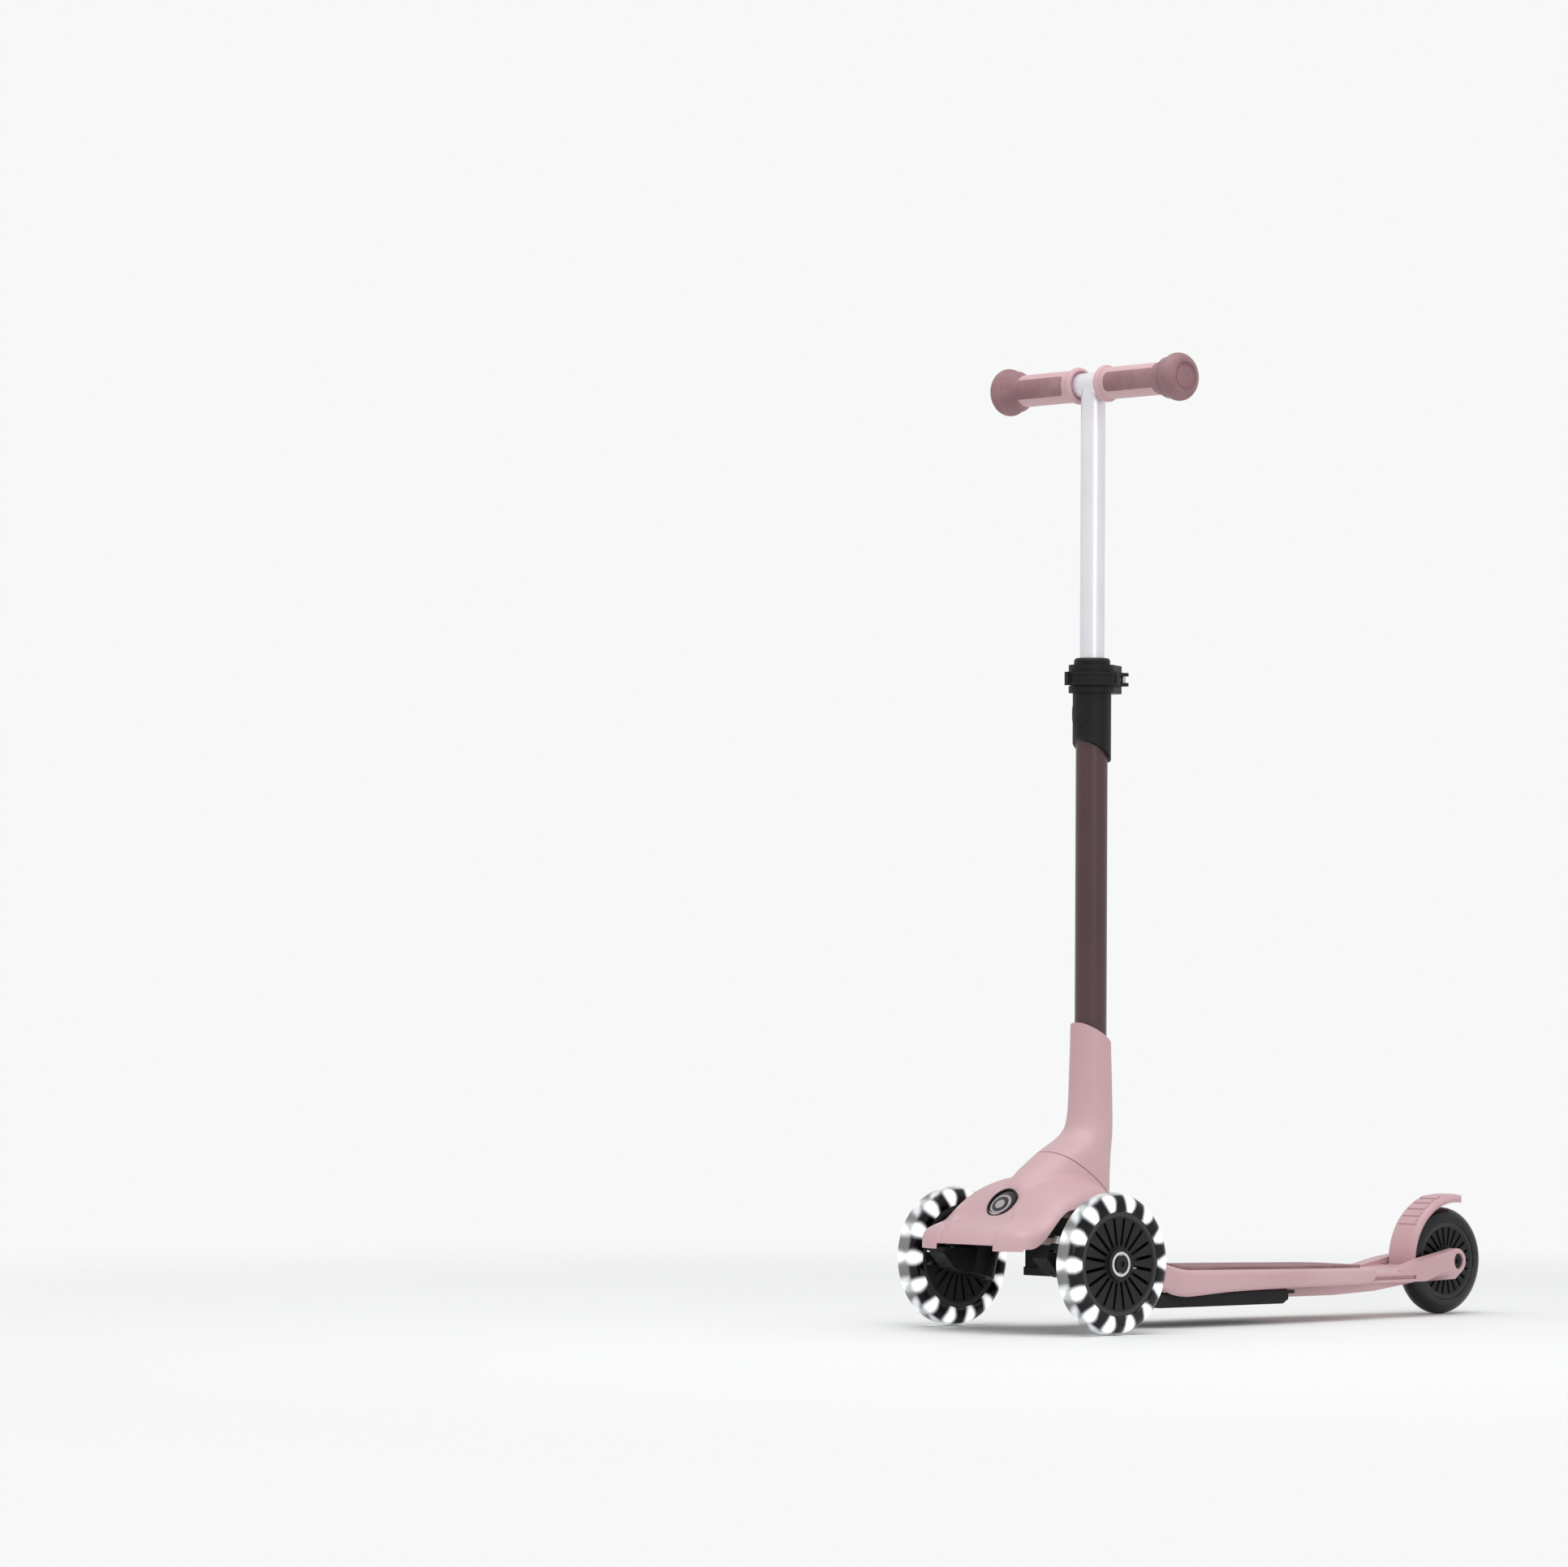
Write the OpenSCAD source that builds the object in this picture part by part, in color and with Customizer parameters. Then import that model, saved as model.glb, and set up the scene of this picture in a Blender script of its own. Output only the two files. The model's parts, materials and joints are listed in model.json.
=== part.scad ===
/* [Overall] */
// Distance from the front axles to the rear axle
wheelbase = 530; // [440:5:640]
// Distance between the mid planes of the two front wheels
track = 204; // [200:1:250]
// Reach of the nose in front of the front axles
nose_reach = 82; // [80:1:100]
// Height of the handlebar axis above the ground at rest
bar_height = 845; // [760:5:960]
// Distance of the stem axis behind the front axles
stem_setback = 72.5; // [65:0.5:80]

/* [Wheels] */
// Diameter of a front wheel
front_wheel_d = 125; // [120:1:130]
// Width of a front tyre
front_tyre_w = 24; // [22:1:26]
// Outer diameter of a front hub rim
front_hub_d = 92; // [84:1:98]
// Diameter of the rear wheel
rear_wheel_d = 100; // [94:1:106]
// Width of the rear tyre
rear_tyre_w = 23; // [20:1:24]
// Outer diameter of the rear hub rim
rear_hub_d = 72; // [66:1:78]
// Number of slots in a front hub
front_slots = 20; // [12:1:24]
// Number of slots in the rear hub
rear_slots = 22; // [12:1:26]
// Number of lamps in a front tyre
lamp_count = 14; // [8:1:18]

/* [Bearings and axles] */
// Outer diameter of a wheel bearing
bearing_d = 22; // [20:0.5:24]
// Width of a wheel bearing
bearing_w = 7; // [6:0.5:8]
// Diameter of the wheel axles
axle_d = 8; // [6:0.5:9]
// Diameter of the kingpin bolts
kingpin_d = 8; // [6:0.5:10]

/* [Steering] */
// Distance of a kingpin from the mid plane of its wheel
kingpin_inset = 36; // [34:1:42]
// Lean of the kingpins, top to the rear
kingpin_tilt = 15; // [8:1:20]
// Length of the steering arms behind the kingpins
arm_len = 34; // [28:1:38]

/* [Bar] */
// Outer diameter of the fixed outer tube
outer_tube_d = 28.6; // [27:0.1:30]
// Wall of the fixed outer tube
outer_tube_wall = 1.8; // [1.4:0.1:2.2]
// Outer diameter of the sliding inner tube
inner_tube_d = 22; // [20:0.1:22.6]
// Wall of the inner tube and of the cross tube
inner_tube_wall = 1.6; // [1.2:0.1:2]
// Length of the cross tube
cross_len = 196; // [180:1:220]
// Height of the top of the clamp collar
collar_top = 599; // [560:1:620]
// Wall of the clamp sleeve around the outer tube
sleeve_wall = 3; // [2.2:0.1:4]

/* [Grips] */
// Diameter of the grip
grip_d = 29; // [27:0.5:31]
// Diameter of the ring at the inner end of a grip
grip_ring_d = 33.5; // [32:0.5:36]
// Diameter of the knob at the outer end of a grip
knob_d = 43; // [38:0.5:46]
// Place of the grip's inner end from the middle of the bar
grip_start = 15; // [13.5:0.5:18]
// Place of the grip's outer end from the middle of the bar
grip_end = 117; // [112:1:126]

/* [Deck] */
// Half width of the deck shell at its widest
deck_half_w = 56; // [53:0.5:58]
// Height of the deck's top at its rear end
deck_top_rear = 47.5; // [46:0.5:49]
// Height of the deck's top behind the nose
deck_top_front = 51.5; // [50:0.5:53]
// Wall of the deck shell
deck_wall = 3; // [2.6:0.1:3.4]
// Thickness of the mat
mat_t = 4; // [3:0.1:5]
// Width of the margin around the mat
mat_margin = 9; // [8:0.5:12]
// Travel of the sliding rear extension
slide_travel = 35; // [20:1:36]
// Distance of the deck shell's rear end in front of the rear axle
deck_end_gap = 129; // [127:1:140]
// Underside of the black rail above the ground
rail_bottom = 18; // [17:0.5:20]

/* [Brake] */
// Radius of the fender's crown
fender_r = 62.5; // [62:0.5:66]
// Width of the fender
fender_w = 33; // [32:0.5:36]
// Thickness of the fender
fender_t = 3.2; // [2.6:0.1:3.2]
// Diameter of the fender's hinge pin
fender_pin_d = 4; // [3:0.5:5]

/* [Fits] */
// Radial clearance of a running fit
run_gap = 0.05; // [0.02:0.01:0.1]
// Clearance between parts that slide or swing past each other
slide_gap = 0.5; // [0.4:0.1:1]

/* [Hidden] */
$fn = 64;

pink = "#dcb9c1";
mauve = "#8d6670";
plum = "#5c3f43";
black = "#232325";
steel = "#c9c9cf";
clear_pu = "#e8ecf2";

// Places along the scooter: the front faces -Y, the origin is under the middle of the whole length.
front_r = front_wheel_d / 2;
rear_r = rear_wheel_d / 2;
total_len = nose_reach + wheelbase + rear_r;
front_y = nose_reach - total_len / 2;
rear_y = front_y + wheelbase;
stem_y = front_y + stem_setback;
wheel_x = track / 2;

// Deck stations, measured from the front axle.
deck_front = 92;
deck_end = wheelbase - deck_end_gap;
mat_front = 119;
mat_end = deck_end - 8;
rail_front = 104;
rail_end = 282;
tongue_front = 290;
tongue_w = 34;
plate_end = wheelbase - rear_r - 4;

// Column and head
head_half = wheel_x - 31.5;
column_top = 262;
column_r = outer_tube_d / 2 + 4;
socket_floor = 168;
cut_slope = 0.6;
seam_slope = 0.74;
seam_front_y = 17;
seam_front_z = 158;
cover_wall = 2.8;

// Bar
sleeve_len = 83;
sleeve_d = outer_tube_d + 2 * sleeve_wall;
lip_r = sleeve_d / 2 - 1;
lever_h = 12;
flange_h = 6;
flange_r = sleeve_d / 2 + 3.7;
ear_y = flange_r + 5;
lever_x = 13.5;
plug_len = 30;
inner_bottom = collar_top - sleeve_len - 18;

// Steering
kingpin_x = wheel_x - kingpin_inset;
kingpin_z = front_r;
barrel_bottom = -17;
barrel_top = 12;
pad_t = 7;

function mix(a, b, t) = a + (b - a) * t;
function smooth(t) = let (u = min(1, max(0, t))) u * u * (3 - 2 * u);
function sgn(v) = v < 0 ? -1 : 1;

// Catmull-Rom value of column c of the table at position u, in rows.
function spline(table, u, c) =
    let (n = len(table) - 1, i = min(n - 1, floor(u)), t = u - i,
         p0 = table[max(0, i - 1)][c], p1 = table[i][c],
         p2 = table[i + 1][c], p3 = table[min(n, i + 2)][c])
    p1 + 0.5 * t * (p2 - p0 + t * (2 * p0 - 5 * p1 + 4 * p2 - p3 + t * (3 * (p1 - p2) + p3 - p0)));

// A closed skin through rings that all have the same number of points.
module skin(rings) {
    n = len(rings[0]);
    m = len(rings);
    sides = [for (i = [0 : m - 2], j = [0 : n - 1])
        let (k = (j + 1) % n)
        each [[i * n + j, i * n + k, (i + 1) * n + k], [i * n + j, (i + 1) * n + k, (i + 1) * n + j]]];
    first = [for (j = [n - 1 : -1 : 0]) j];
    last = [for (j = [0 : n - 1]) (m - 1) * n + j];
    polyhedron(points = [for (r = rings) each r], faces = concat([first], sides, [last]), convexity = 8);
}

// A round wire wound as a helix along +Z, swept with 8 sides.
module coil(radius, wire, pitch, turns, steps = 12) {
    count = round(turns * steps);
    skin([for (i = [0 : count])
        let (a = i * 360 / steps)
        [for (j = [0 : 7])
            let (b = j * 45, r = radius + wire / 2 * cos(b))
            [r * cos(a), r * sin(a), i * pitch / steps - wire / 2 * sin(b)]]]);
}

module at_front() { translate([0, front_y, 0]) children(); }
module at_rear() { translate([0, rear_y, rear_r]) children(); }
module at_stem(z) { translate([0, stem_y, z]) children(); }
module at_wheel(side) { translate([side * wheel_x, front_y, front_r]) children(); }
module along_x(side = 1) { rotate([0, side * 90, 0]) children(); }
module at_kingpin(side) {
    translate([side * kingpin_x, front_y, kingpin_z]) rotate([-kingpin_tilt, 0, 0]) children();
}

module tube(outer, inner, h) {
    difference() {
        cylinder(d = outer, h = h);
        translate([0, 0, -1]) cylinder(d = inner, h = h + 2);
    }
}

// ---- wheels ----------------------------------------------------------------

// Half profile of a tyre: flat cheeks, then a round crown.
function tyre_profile(r, inner, w, crown) = concat(
    [[inner, -w / 2 + 1], [inner + 1, -w / 2], [r - crown, -w / 2]],
    [for (a = [-80 : 10 : 80]) [r - crown + crown * cos(a), w / 2 * sin(a)]],
    [[r - crown, w / 2], [inner + 1, w / 2], [inner, w / 2 - 1]]);

lamp_size = [4, 7, 9];
lamp_gap = 0.2;
module lamps(side) {
    at_wheel(side) along_x()
        for (i = [0 : lamp_count - 1]) rotate(i * 360 / lamp_count)
            translate([front_hub_d / 2 + lamp_gap + lamp_size[0] / 2, 0, 0]) cube(lamp_size, center = true);
}

module front_tyre(side) {
    color(clear_pu, 0.5) difference() {
        at_wheel(side) along_x()
            rotate_extrude($fn = 96) polygon(tyre_profile(front_r, front_hub_d / 2, front_tyre_w, 12));
        at_wheel(side) along_x()
            for (i = [0 : lamp_count - 1]) rotate(i * 360 / lamp_count)
                translate([front_hub_d / 2 + lamp_size[0] / 2, 0, 0])
                    cube([lamp_size[0] + 2 * lamp_gap + 2, lamp_size[1] + 2 * lamp_gap,
                          lamp_size[2] + 2 * lamp_gap], center = true);
    }
}

// Outline of a slot along +X with round ends.
function slot_outline(from, to, w) =
    concat([for (a = [-90 : 30 : 90]) [to - w / 2 + w / 2 * cos(a), w / 2 * sin(a)]],
           [for (a = [90 : 30 : 270]) [from + w / 2 + w / 2 * cos(a), w / 2 * sin(a)]]);

// A hub about its middle: rim ring, slotted web between two dished faces, raised boss with two bearings.
hub_face = 2;
module hub(d, w, slots, slot_in, rim_t) {
    slot_out = d / 2 - rim_t;
    slot_w = 2 * PI * slot_in / slots * 0.54;
    boss = w + 2 * hub_face;
    difference() {
        union() {
            difference() {
                cylinder(d = d, h = w, center = true);
                for (side = [-1, 1]) translate([0, 0, side * w])
                    cylinder(r = slot_out, h = w + 2, center = true);
            }
            cylinder(r = slot_in - 1.2, h = boss, center = true);
        }
        cylinder(d = axle_d + 6, h = boss + 2, center = true);
        for (side = [-1, 1]) translate([0, 0, side * (boss / 2 - bearing_w / 2 + 0.5)])
            cylinder(d = bearing_d, h = bearing_w + 1, center = true);
        for (i = [0 : slots - 1]) rotate((i + 0.5) * 360 / slots)
            linear_extrude(2 * w, center = true) polygon(slot_outline(slot_in, slot_out - 1.6, slot_w));
    }
}

front_hub_w = front_tyre_w - 3;
front_bearing_face = front_hub_w / 2 + hub_face;
module front_hub(side) {
    color(black) at_wheel(side) along_x() hub(front_hub_d, front_hub_w, front_slots, 16, 4);
}

// Two bearings, each with its shield set back from the outer race.
shield_back = 1.6;
module bearing_pair(w) {
    for (side = [-1, 1]) translate([0, 0, side * (w / 2 - bearing_w / 2)])
        difference() {
            cylinder(d = bearing_d, h = bearing_w, center = true);
            cylinder(d = axle_d + 2 * run_gap, h = bearing_w + 2, center = true);
            translate([0, 0, side * (bearing_w - shield_back)]) cylinder(d = 17, h = bearing_w, center = true);
        }
}

module front_bearings(side) { color(steel) at_wheel(side) along_x() bearing_pair(2 * front_bearing_face); }

// Distance tube between the two bearings, clamped on the axle.
module spacer(w) {
    translate([0, 0, -w / 2 + bearing_w + 0.1])
        tube(axle_d + 4, axle_d, w - 2 * bearing_w - 0.2);
}
module front_spacer(side) { color(steel) at_wheel(side) along_x() spacer(2 * front_bearing_face); }

head_t = 2.6;
module socket_head(d, t, key) {
    difference() {
        cylinder(d = d, h = t);
        translate([0, 0, t - 1.8]) cylinder(d = key, h = 4, $fn = 6);
    }
}

stub_in = kingpin_x + 7;
module front_axle_bolt(side) {
    out = front_bearing_face - shield_back + 0.1;
    color(black) at_wheel(side) along_x(side) {
        translate([0, 0, stub_in - wheel_x]) cylinder(d = axle_d, h = wheel_x - stub_in + out);
        translate([0, 0, out]) socket_head(15.4, head_t, 6);
    }
}

rear_hub_w = rear_tyre_w - 3;
rear_bearing_face = rear_hub_w / 2 + hub_face;
module rear_tyre() {
    color(black) at_rear() along_x()
        rotate_extrude($fn = 96) polygon(tyre_profile(rear_r, rear_hub_d / 2, rear_tyre_w, 11));
}
module rear_hub() {
    color(black) at_rear() along_x() hub(rear_hub_d, rear_hub_w, rear_slots, 14, 3);
}
module rear_bearings() { color(steel) at_rear() along_x() bearing_pair(2 * rear_bearing_face); }
module rear_spacer() { color(steel) at_rear() along_x() spacer(2 * rear_bearing_face); }

fork_in = rear_tyre_w / 2 + 2.5;
fork_out = fork_in + 9.5;
bolt_seat = 3.5;
module rear_axle_bolt() {
    color(black) at_rear() along_x() {
        translate([0, 0, -fork_out + bolt_seat - 3]) cylinder(d = axle_d, h = 2 * fork_out - 2 * bolt_seat + 3);
        translate([0, 0, fork_out - bolt_seat]) socket_head(13, 3.2, 5);
    }
}
module rear_axle_nut() {
    color(steel) at_rear() along_x(-1) translate([0, 0, fork_out - bolt_seat + 0.1])
        difference() {
            cylinder(d = 13, h = 3.2, $fn = 6);
            translate([0, 0, -1]) cylinder(d = axle_d, h = 6);
        }
}

// ---- head ------------------------------------------------------------------

// Rows of the wing-shaped head: station from the front axle, half width less the widest, height of the
// middle, height where the shoulder starts.
head_rows = [
    [-nose_reach, -30.5, 79, 75], [1.5 - nose_reach, -23.5, 83.5, 78], [5.5 - nose_reach, -12.5, 90, 81],
    [-70, -4.5, 95, 82], [-58, -1.5, 99, 82], [-46, -0.5, 103.5, 84], [-34, 0, 114, 90], [-20, 0, 125, 97],
    [-5, 0, 131.5, 102], [12, -0.5, 136, 104], [28, -1.5, 136, 101], [44, -6.5, 129, 94],
    [60, -15.5, 115, 84], [76, -24.5, 98, 74], [92, -29.5, 82, 64], [104, -31.5, 72, 57]
];
head_steps = 2;
head_sides = 9;
function head_ring(u, inset, drop) =
    let (y = spline(head_rows, u, 0), w = head_half + spline(head_rows, u, 1) - inset,
         top = spline(head_rows, u, 2) - inset, edge = min(top - 4, spline(head_rows, u, 3) - inset * 0.4))
    concat([[w, y, drop]],
        [for (j = [0 : 2 * head_sides])
            let (a = j * 90 / head_sides, s = pow(abs(cos(a)), 0.6))
            [w * s * sgn(cos(a)), y, edge + (top - edge) * pow(sin(a), 0.72)]],
        [[-w, y, drop]]);

module head_form(inset, drop) {
    last = len(head_rows) - 1;
    skin([for (i = [0 : last * head_steps])
        let (ring = head_ring(i / head_steps, inset, drop),
             squeeze = inset * (1 - 2 * i / (last * head_steps)))
        [for (p = ring) [p[0], p[1] + squeeze, p[2]]]]);
}

// Rows of the column's foot: height, reach to the front, half width, reach to the rear, all from the
// stem axis, and how far the widest place lies in front of that axis.
column_rows = [
    [330, 18.3, 18.3, 18.3, 0], [270, 18.3, 18.3, 18.3, 0], [230, 19.2, 19.2, 19.2, 0],
    [200, 20.4, 20, 19.8, 0], [188, 21.6, 20.4, 20.2, 1], [178, 24.4, 21.2, 20.4, 4],
    [169, 33, 22.6, 20.4, 11], [159, 51, 24.2, 19.6, 24], [149, 66, 25, 18, 27],
    [138, 81, 25.6, 16, 29], [126, 92, 26, 14, 30], [110, 98, 26.5, 13, 31], [90, 100, 27, 13, 31],
    [70, 100, 27, 13, 31]
];
column_steps = 2;
column_sides = 30;
function column_ring(u, inset) =
    let (z = spline(column_rows, u, 0), front = spline(column_rows, u, 1) - inset,
         half = spline(column_rows, u, 2) - inset, back = spline(column_rows, u, 3) - inset,
         mid = spline(column_rows, u, 4))
    [for (j = [0 : column_sides - 1])
        let (a = j * 360 / column_sides, c = cos(a), s = sin(a))
        [half * c, -mid + (s > 0 ? back + mid : front - mid) * s, z]];

module column_form(inset) {
    translate([0, stem_setback, 0])
        skin([for (i = [0 : (len(column_rows) - 1) * column_steps]) column_ring(i / column_steps, inset)]);
}

// Everything above the slanted seam between column and cover.
module above_seam(gap) {
    translate([0, seam_front_y, seam_front_z + gap]) rotate([-atan(seam_slope), 0, 0])
        translate([-150, -300, 0]) cube([300, 600, 400]);
}

// Side view of the wheel arches, as the region that is cut away.
arch_low = 75;
arch_high = 109;
function arch_z(y) = y < 25
    ? mix(arch_low, arch_high, smooth((y + 66) / 52))
    : mix(arch_high, 54, smooth((y - 42) / 44));
module arch_cut() {
    rotate([90, 0, 90]) translate([0, 0, -150]) linear_extrude(300)
        polygon(concat([[130, 10], [-71, 10]], [for (y = [-71 : 4 : 129]) [y, arch_z(y)]], [[130, 54]]));
}

nose_edge = 73;
notch_half = head_half - 34.5;
// The middle panel below the badge lies a step behind the wings.
panel_step = 1.2;
crease_x = 37;
module front_panel() {
    difference() {
        translate([0, -badge_panel_end, 0]) rotate([90, 0, 0]) linear_extrude(80)
            polygon([[-crease_x, 60], [crease_x, 60], [crease_x, 93], [17, 111], [-17, 111], [-crease_x, 93]]);
        head_form(panel_step, 30);
    }
}
badge_panel_end = 44;

module head_cover() {
    color(pink) at_front() difference() {
        union() {
            head_form(0, 40);
            column_form(0);
        }
        front_panel();
        head_form(cover_wall, 30);
        translate([0, 0, -60]) column_form(cover_wall + 2);
        translate([0, 0, -9]) column_form(cover_wall);
        above_seam(0);
        arch_cut();
        translate([-150, -120, 0]) cube([300, 60, nose_edge]);
        translate([-notch_half, -120, 0]) cube([2 * notch_half, 60, nose_edge + 5]);
        deck_form(-0.6, 0);
        at_badge() translate([0, 0, -2.2]) cylinder(r = badge_r + 2.1, h = 20);
    }
}

badge_r = 13.8;
badge_y = -35;
badge_z = 113;
badge_tilt = 50;
module at_badge() { translate([0, badge_y, badge_z]) rotate([badge_tilt, 0, 0]) children(); }
module badge() {
    color(steel) at_front() at_badge() translate([0, 0, -2])
        intersection() {
            cylinder(r = badge_r - 0.1, h = 4.4);
            translate([0, 0, 4.4 - 60]) sphere(r = 60, $fn = 96);
        }
}
module badge_rim() {
    color(black) at_front() at_badge() translate([0, 0, -2]) tube(2 * badge_r + 4, 2 * badge_r, 4);
}

module steering_column() {
    color(pink) difference() {
        at_front() intersection() {
            union() {
                column_form(0);
                head_form(0, 40);
            }
            above_seam(0.6);
        }
        at_front() above_rim();
        at_front() intersection() {
            translate([0, 0, -8]) column_form(cover_wall + 0.4);
            translate([-100, -100, 0]) cube([200, 300, socket_floor - 8]);
        }
        at_stem(socket_floor) cylinder(d = outer_tube_d, h = 200);
        at_button() cylinder(d = button_d + 2 * run_gap, h = 40, center = true);
        at_button() translate([0, 0, -12]) cylinder(d = button_d + 5, h = 6);
    }
}

module above_rim() {
    translate([0, stem_setback, column_top]) rotate([-atan(cut_slope), 0, 0])
        translate([-100, -100, 0]) cube([200, 200, 200]);
}

// Release button in the column's rear wall.
button_d = 11;
button_z = 226;
button_travel = 2.5;
module at_button() { at_stem(button_z) translate([0, column_r, 0]) rotate([-90, 0, 0]) children(); }
module release_button() {
    color(black) at_button() difference() {
        translate([0, 0, -1.2]) cylinder(d = button_d, h = 4.6);
        translate([0, 0, -2]) cylinder(d = 6, h = 2.4);
    }
}
module button_spring() {
    color(steel) at_button() translate([0, 0, -5.4]) tube(5, 3.4, 5.4 + 0.3 - button_travel);
}

// ---- chassis and steering ----------------------------------------------------

// The tail of the chassis runs into a pocket in the deck's front end.
tail_w = 40;
tail_t = 7.5;
tail_low = 48;
tail_end = 110;
tail_screw_x = 12;
tail_screw_y = 103;
beam_low = 82;
beam_high = 100;
module chassis() {
    color(black) difference() {
        union() {
            at_front() translate([8 - kingpin_x, -12, beam_low]) cube([2 * kingpin_x - 16, 30, beam_high - beam_low]);
            at_front() translate([-18, -44, beam_high - 10]) cube([36, 44, 7]);
            at_front() translate([-tail_w / 2, 10, tail_low]) cube([tail_w, tail_end - 10, tail_t]);
            at_front() translate([-tail_w / 2, 12, tail_low]) cube([tail_w, 28, beam_low - tail_low + 4]);
            at_front() translate([-17, 39, 80]) cube([34, 32, 16]);
            for (side = [-1, 1]) {
                at_kingpin(side) translate([0, 0, barrel_top + slide_gap]) cylinder(r = 16, h = pad_t);
                at_kingpin(side) translate([-side * 9 - 9, -9, barrel_top + slide_gap])
                    cube([18, 18, 22]);
            }
        }
        at_front() for (x = [-tail_screw_x, tail_screw_x])
            translate([x, tail_screw_y, tail_low - 1]) cylinder(d = 4, h = 20);
        for (side = [-1, 1]) at_kingpin(side) {
            translate([0, 0, -60]) cylinder(d = kingpin_d, h = 140);
            translate([0, 0, barrel_top + slide_gap + pad_t]) cylinder(r = 10.5, h = 60);
        }
    }
}

module chassis_screws() {
    color(steel) at_front() for (x = [-tail_screw_x, tail_screw_x]) translate([x, tail_screw_y, tail_low - 6]) {
        cylinder(d = 8, h = 3);
        cylinder(d = 4, h = 13);
    }
}

kingpin_sink = 4.2;
module kingpins() {
    low = barrel_bottom + kingpin_sink - 0.1;
    color(black) for (side = [-1, 1]) at_kingpin(side) {
        translate([0, 0, low]) cylinder(d = kingpin_d, h = barrel_top + slide_gap + pad_t + 8 - low);
        translate([0, 0, low - 3.6]) cylinder(d = 14, h = 3.6);
    }
}
module kingpin_nuts() {
    color(steel) for (side = [-1, 1]) at_kingpin(side)
        translate([0, 0, barrel_top + slide_gap + pad_t + 0.02]) difference() {
            cylinder(d = 14, h = 6.5, $fn = 6);
            translate([0, 0, -1]) cylinder(d = kingpin_d, h = 9);
        }
}

arm_t = 6;
arm_low = 1;
rod_t = 5;
rod_gap = 0.4;
tie_pin_d = 5;
module at_tie(side) { at_kingpin(side) translate([0, -arm_len, arm_low]) children(); }

module knuckle(side) {
    color(black) difference() {
        union() {
            at_kingpin(side) translate([0, 0, barrel_bottom]) cylinder(r = 16, h = barrel_top - barrel_bottom);
            at_wheel(side) along_x(side) translate([0, 0, kingpin_x - wheel_x])
                cylinder(d = 22, h = wheel_x - kingpin_x - front_tyre_w / 2 - 1.5);
            at_wheel(side) along_x(side) translate([0, 0, kingpin_x - wheel_x])
                cylinder(d = 15, h = wheel_x - kingpin_x - front_bearing_face + shield_back - 0.3);
            at_kingpin(side) translate([0, 0, arm_low]) {
                translate([0, -arm_len, 0]) cylinder(d = 13, h = arm_t);
                translate([-6.2, -arm_len, 0]) cube([12.4, arm_len - 4, arm_t]);
            }
            translate([side * kingpin_x, front_y, kingpin_z]) rotate([90, 0, 90])
                linear_extrude(19, center = true)
                    polygon([[3, -13], [3, 6], [-30, 9.6], [-51, 9.6], [-53, 5], [-40, -8], [-26, -13]]);
        }
        at_kingpin(side) translate([0, 0, -60]) cylinder(d = kingpin_d + 2 * run_gap, h = 120);
        at_kingpin(side) translate([0, 0, barrel_bottom - 40]) cylinder(r = 9, h = 40 + kingpin_sink);
        at_kingpin(side) translate([0, 0, barrel_top]) cylinder(r = 40, h = 20);
        at_tie(side) translate([0, 0, -20]) cylinder(d = tie_pin_d, h = 40);
        at_wheel(side) along_x(side) translate([0, 0, stub_in - wheel_x]) cylinder(d = axle_d, h = 60);
    }
}

module tie_rod() {
    rise = arm_t + rod_gap;
    color(steel) difference() {
        union() {
            for (side = [-1, 1]) at_tie(side) translate([0, 0, rise]) cylinder(d = 12, h = rod_t);
            translate([0, front_y, kingpin_z]) rotate([-kingpin_tilt, 0, 0])
                translate([-kingpin_x, -arm_len - 4, arm_low + rise]) cube([2 * kingpin_x, 8, rod_t]);
        }
        for (side = [-1, 1]) at_tie(side)
            translate([0, 0, -5]) cylinder(d = tie_pin_d + 2 * run_gap, h = 20);
    }
}
module tie_pin(side) {
    color(steel) at_tie(side) {
        translate([0, 0, -1]) cylinder(d = tie_pin_d, h = rod_t + arm_t + 2);
        translate([0, 0, rod_t + arm_t + 1]) cylinder(d = 8, h = 1.6);
    }
}

// Centring spring around the chassis boss over each knuckle.
module centring_spring(side) {
    color(steel) at_kingpin(side) translate([0, 0, barrel_top + slide_gap + pad_t + 1.6])
        coil(9.3, 1.6, 2.2, 3.5);
}

// ---- bar ---------------------------------------------------------------------

module outer_tube() {
    top = collar_top - 8;
    color(plum) difference() {
        at_stem(socket_floor) tube(outer_tube_d, outer_tube_d - 2 * outer_tube_wall, top - socket_floor);
        at_button() translate([0, 0, -10]) cylinder(d = 6, h = 10);
    }
}

outer_bore = outer_tube_d - 2 * outer_tube_wall;
bush_len = 46;
module tube_bush() {
    color(black) at_stem(collar_top - 8 - bush_len)
        tube(outer_bore, inner_tube_d + 2 * run_gap, bush_len);
}

lever_z = collar_top - 12.6 - lever_h;
lever_in = flange_r + 0.8;
lever_out = lever_in + 3.6;
ear_r = 8;

// Plate of the clamp: a ring that runs out into one rounded ear at the rear.
module ear_plate(r, h) {
    cylinder(r = r, h = h);
    translate([0, ear_y, 0]) cylinder(r = ear_r, h = h);
    linear_extrude(h) polygon([[-r * cos(20), r * sin(20)], [r * cos(20), r * sin(20)],
                               [ear_r * cos(20), ear_y + ear_r * sin(20)],
                               [-ear_r * cos(20), ear_y + ear_r * sin(20)]]);
}

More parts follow.
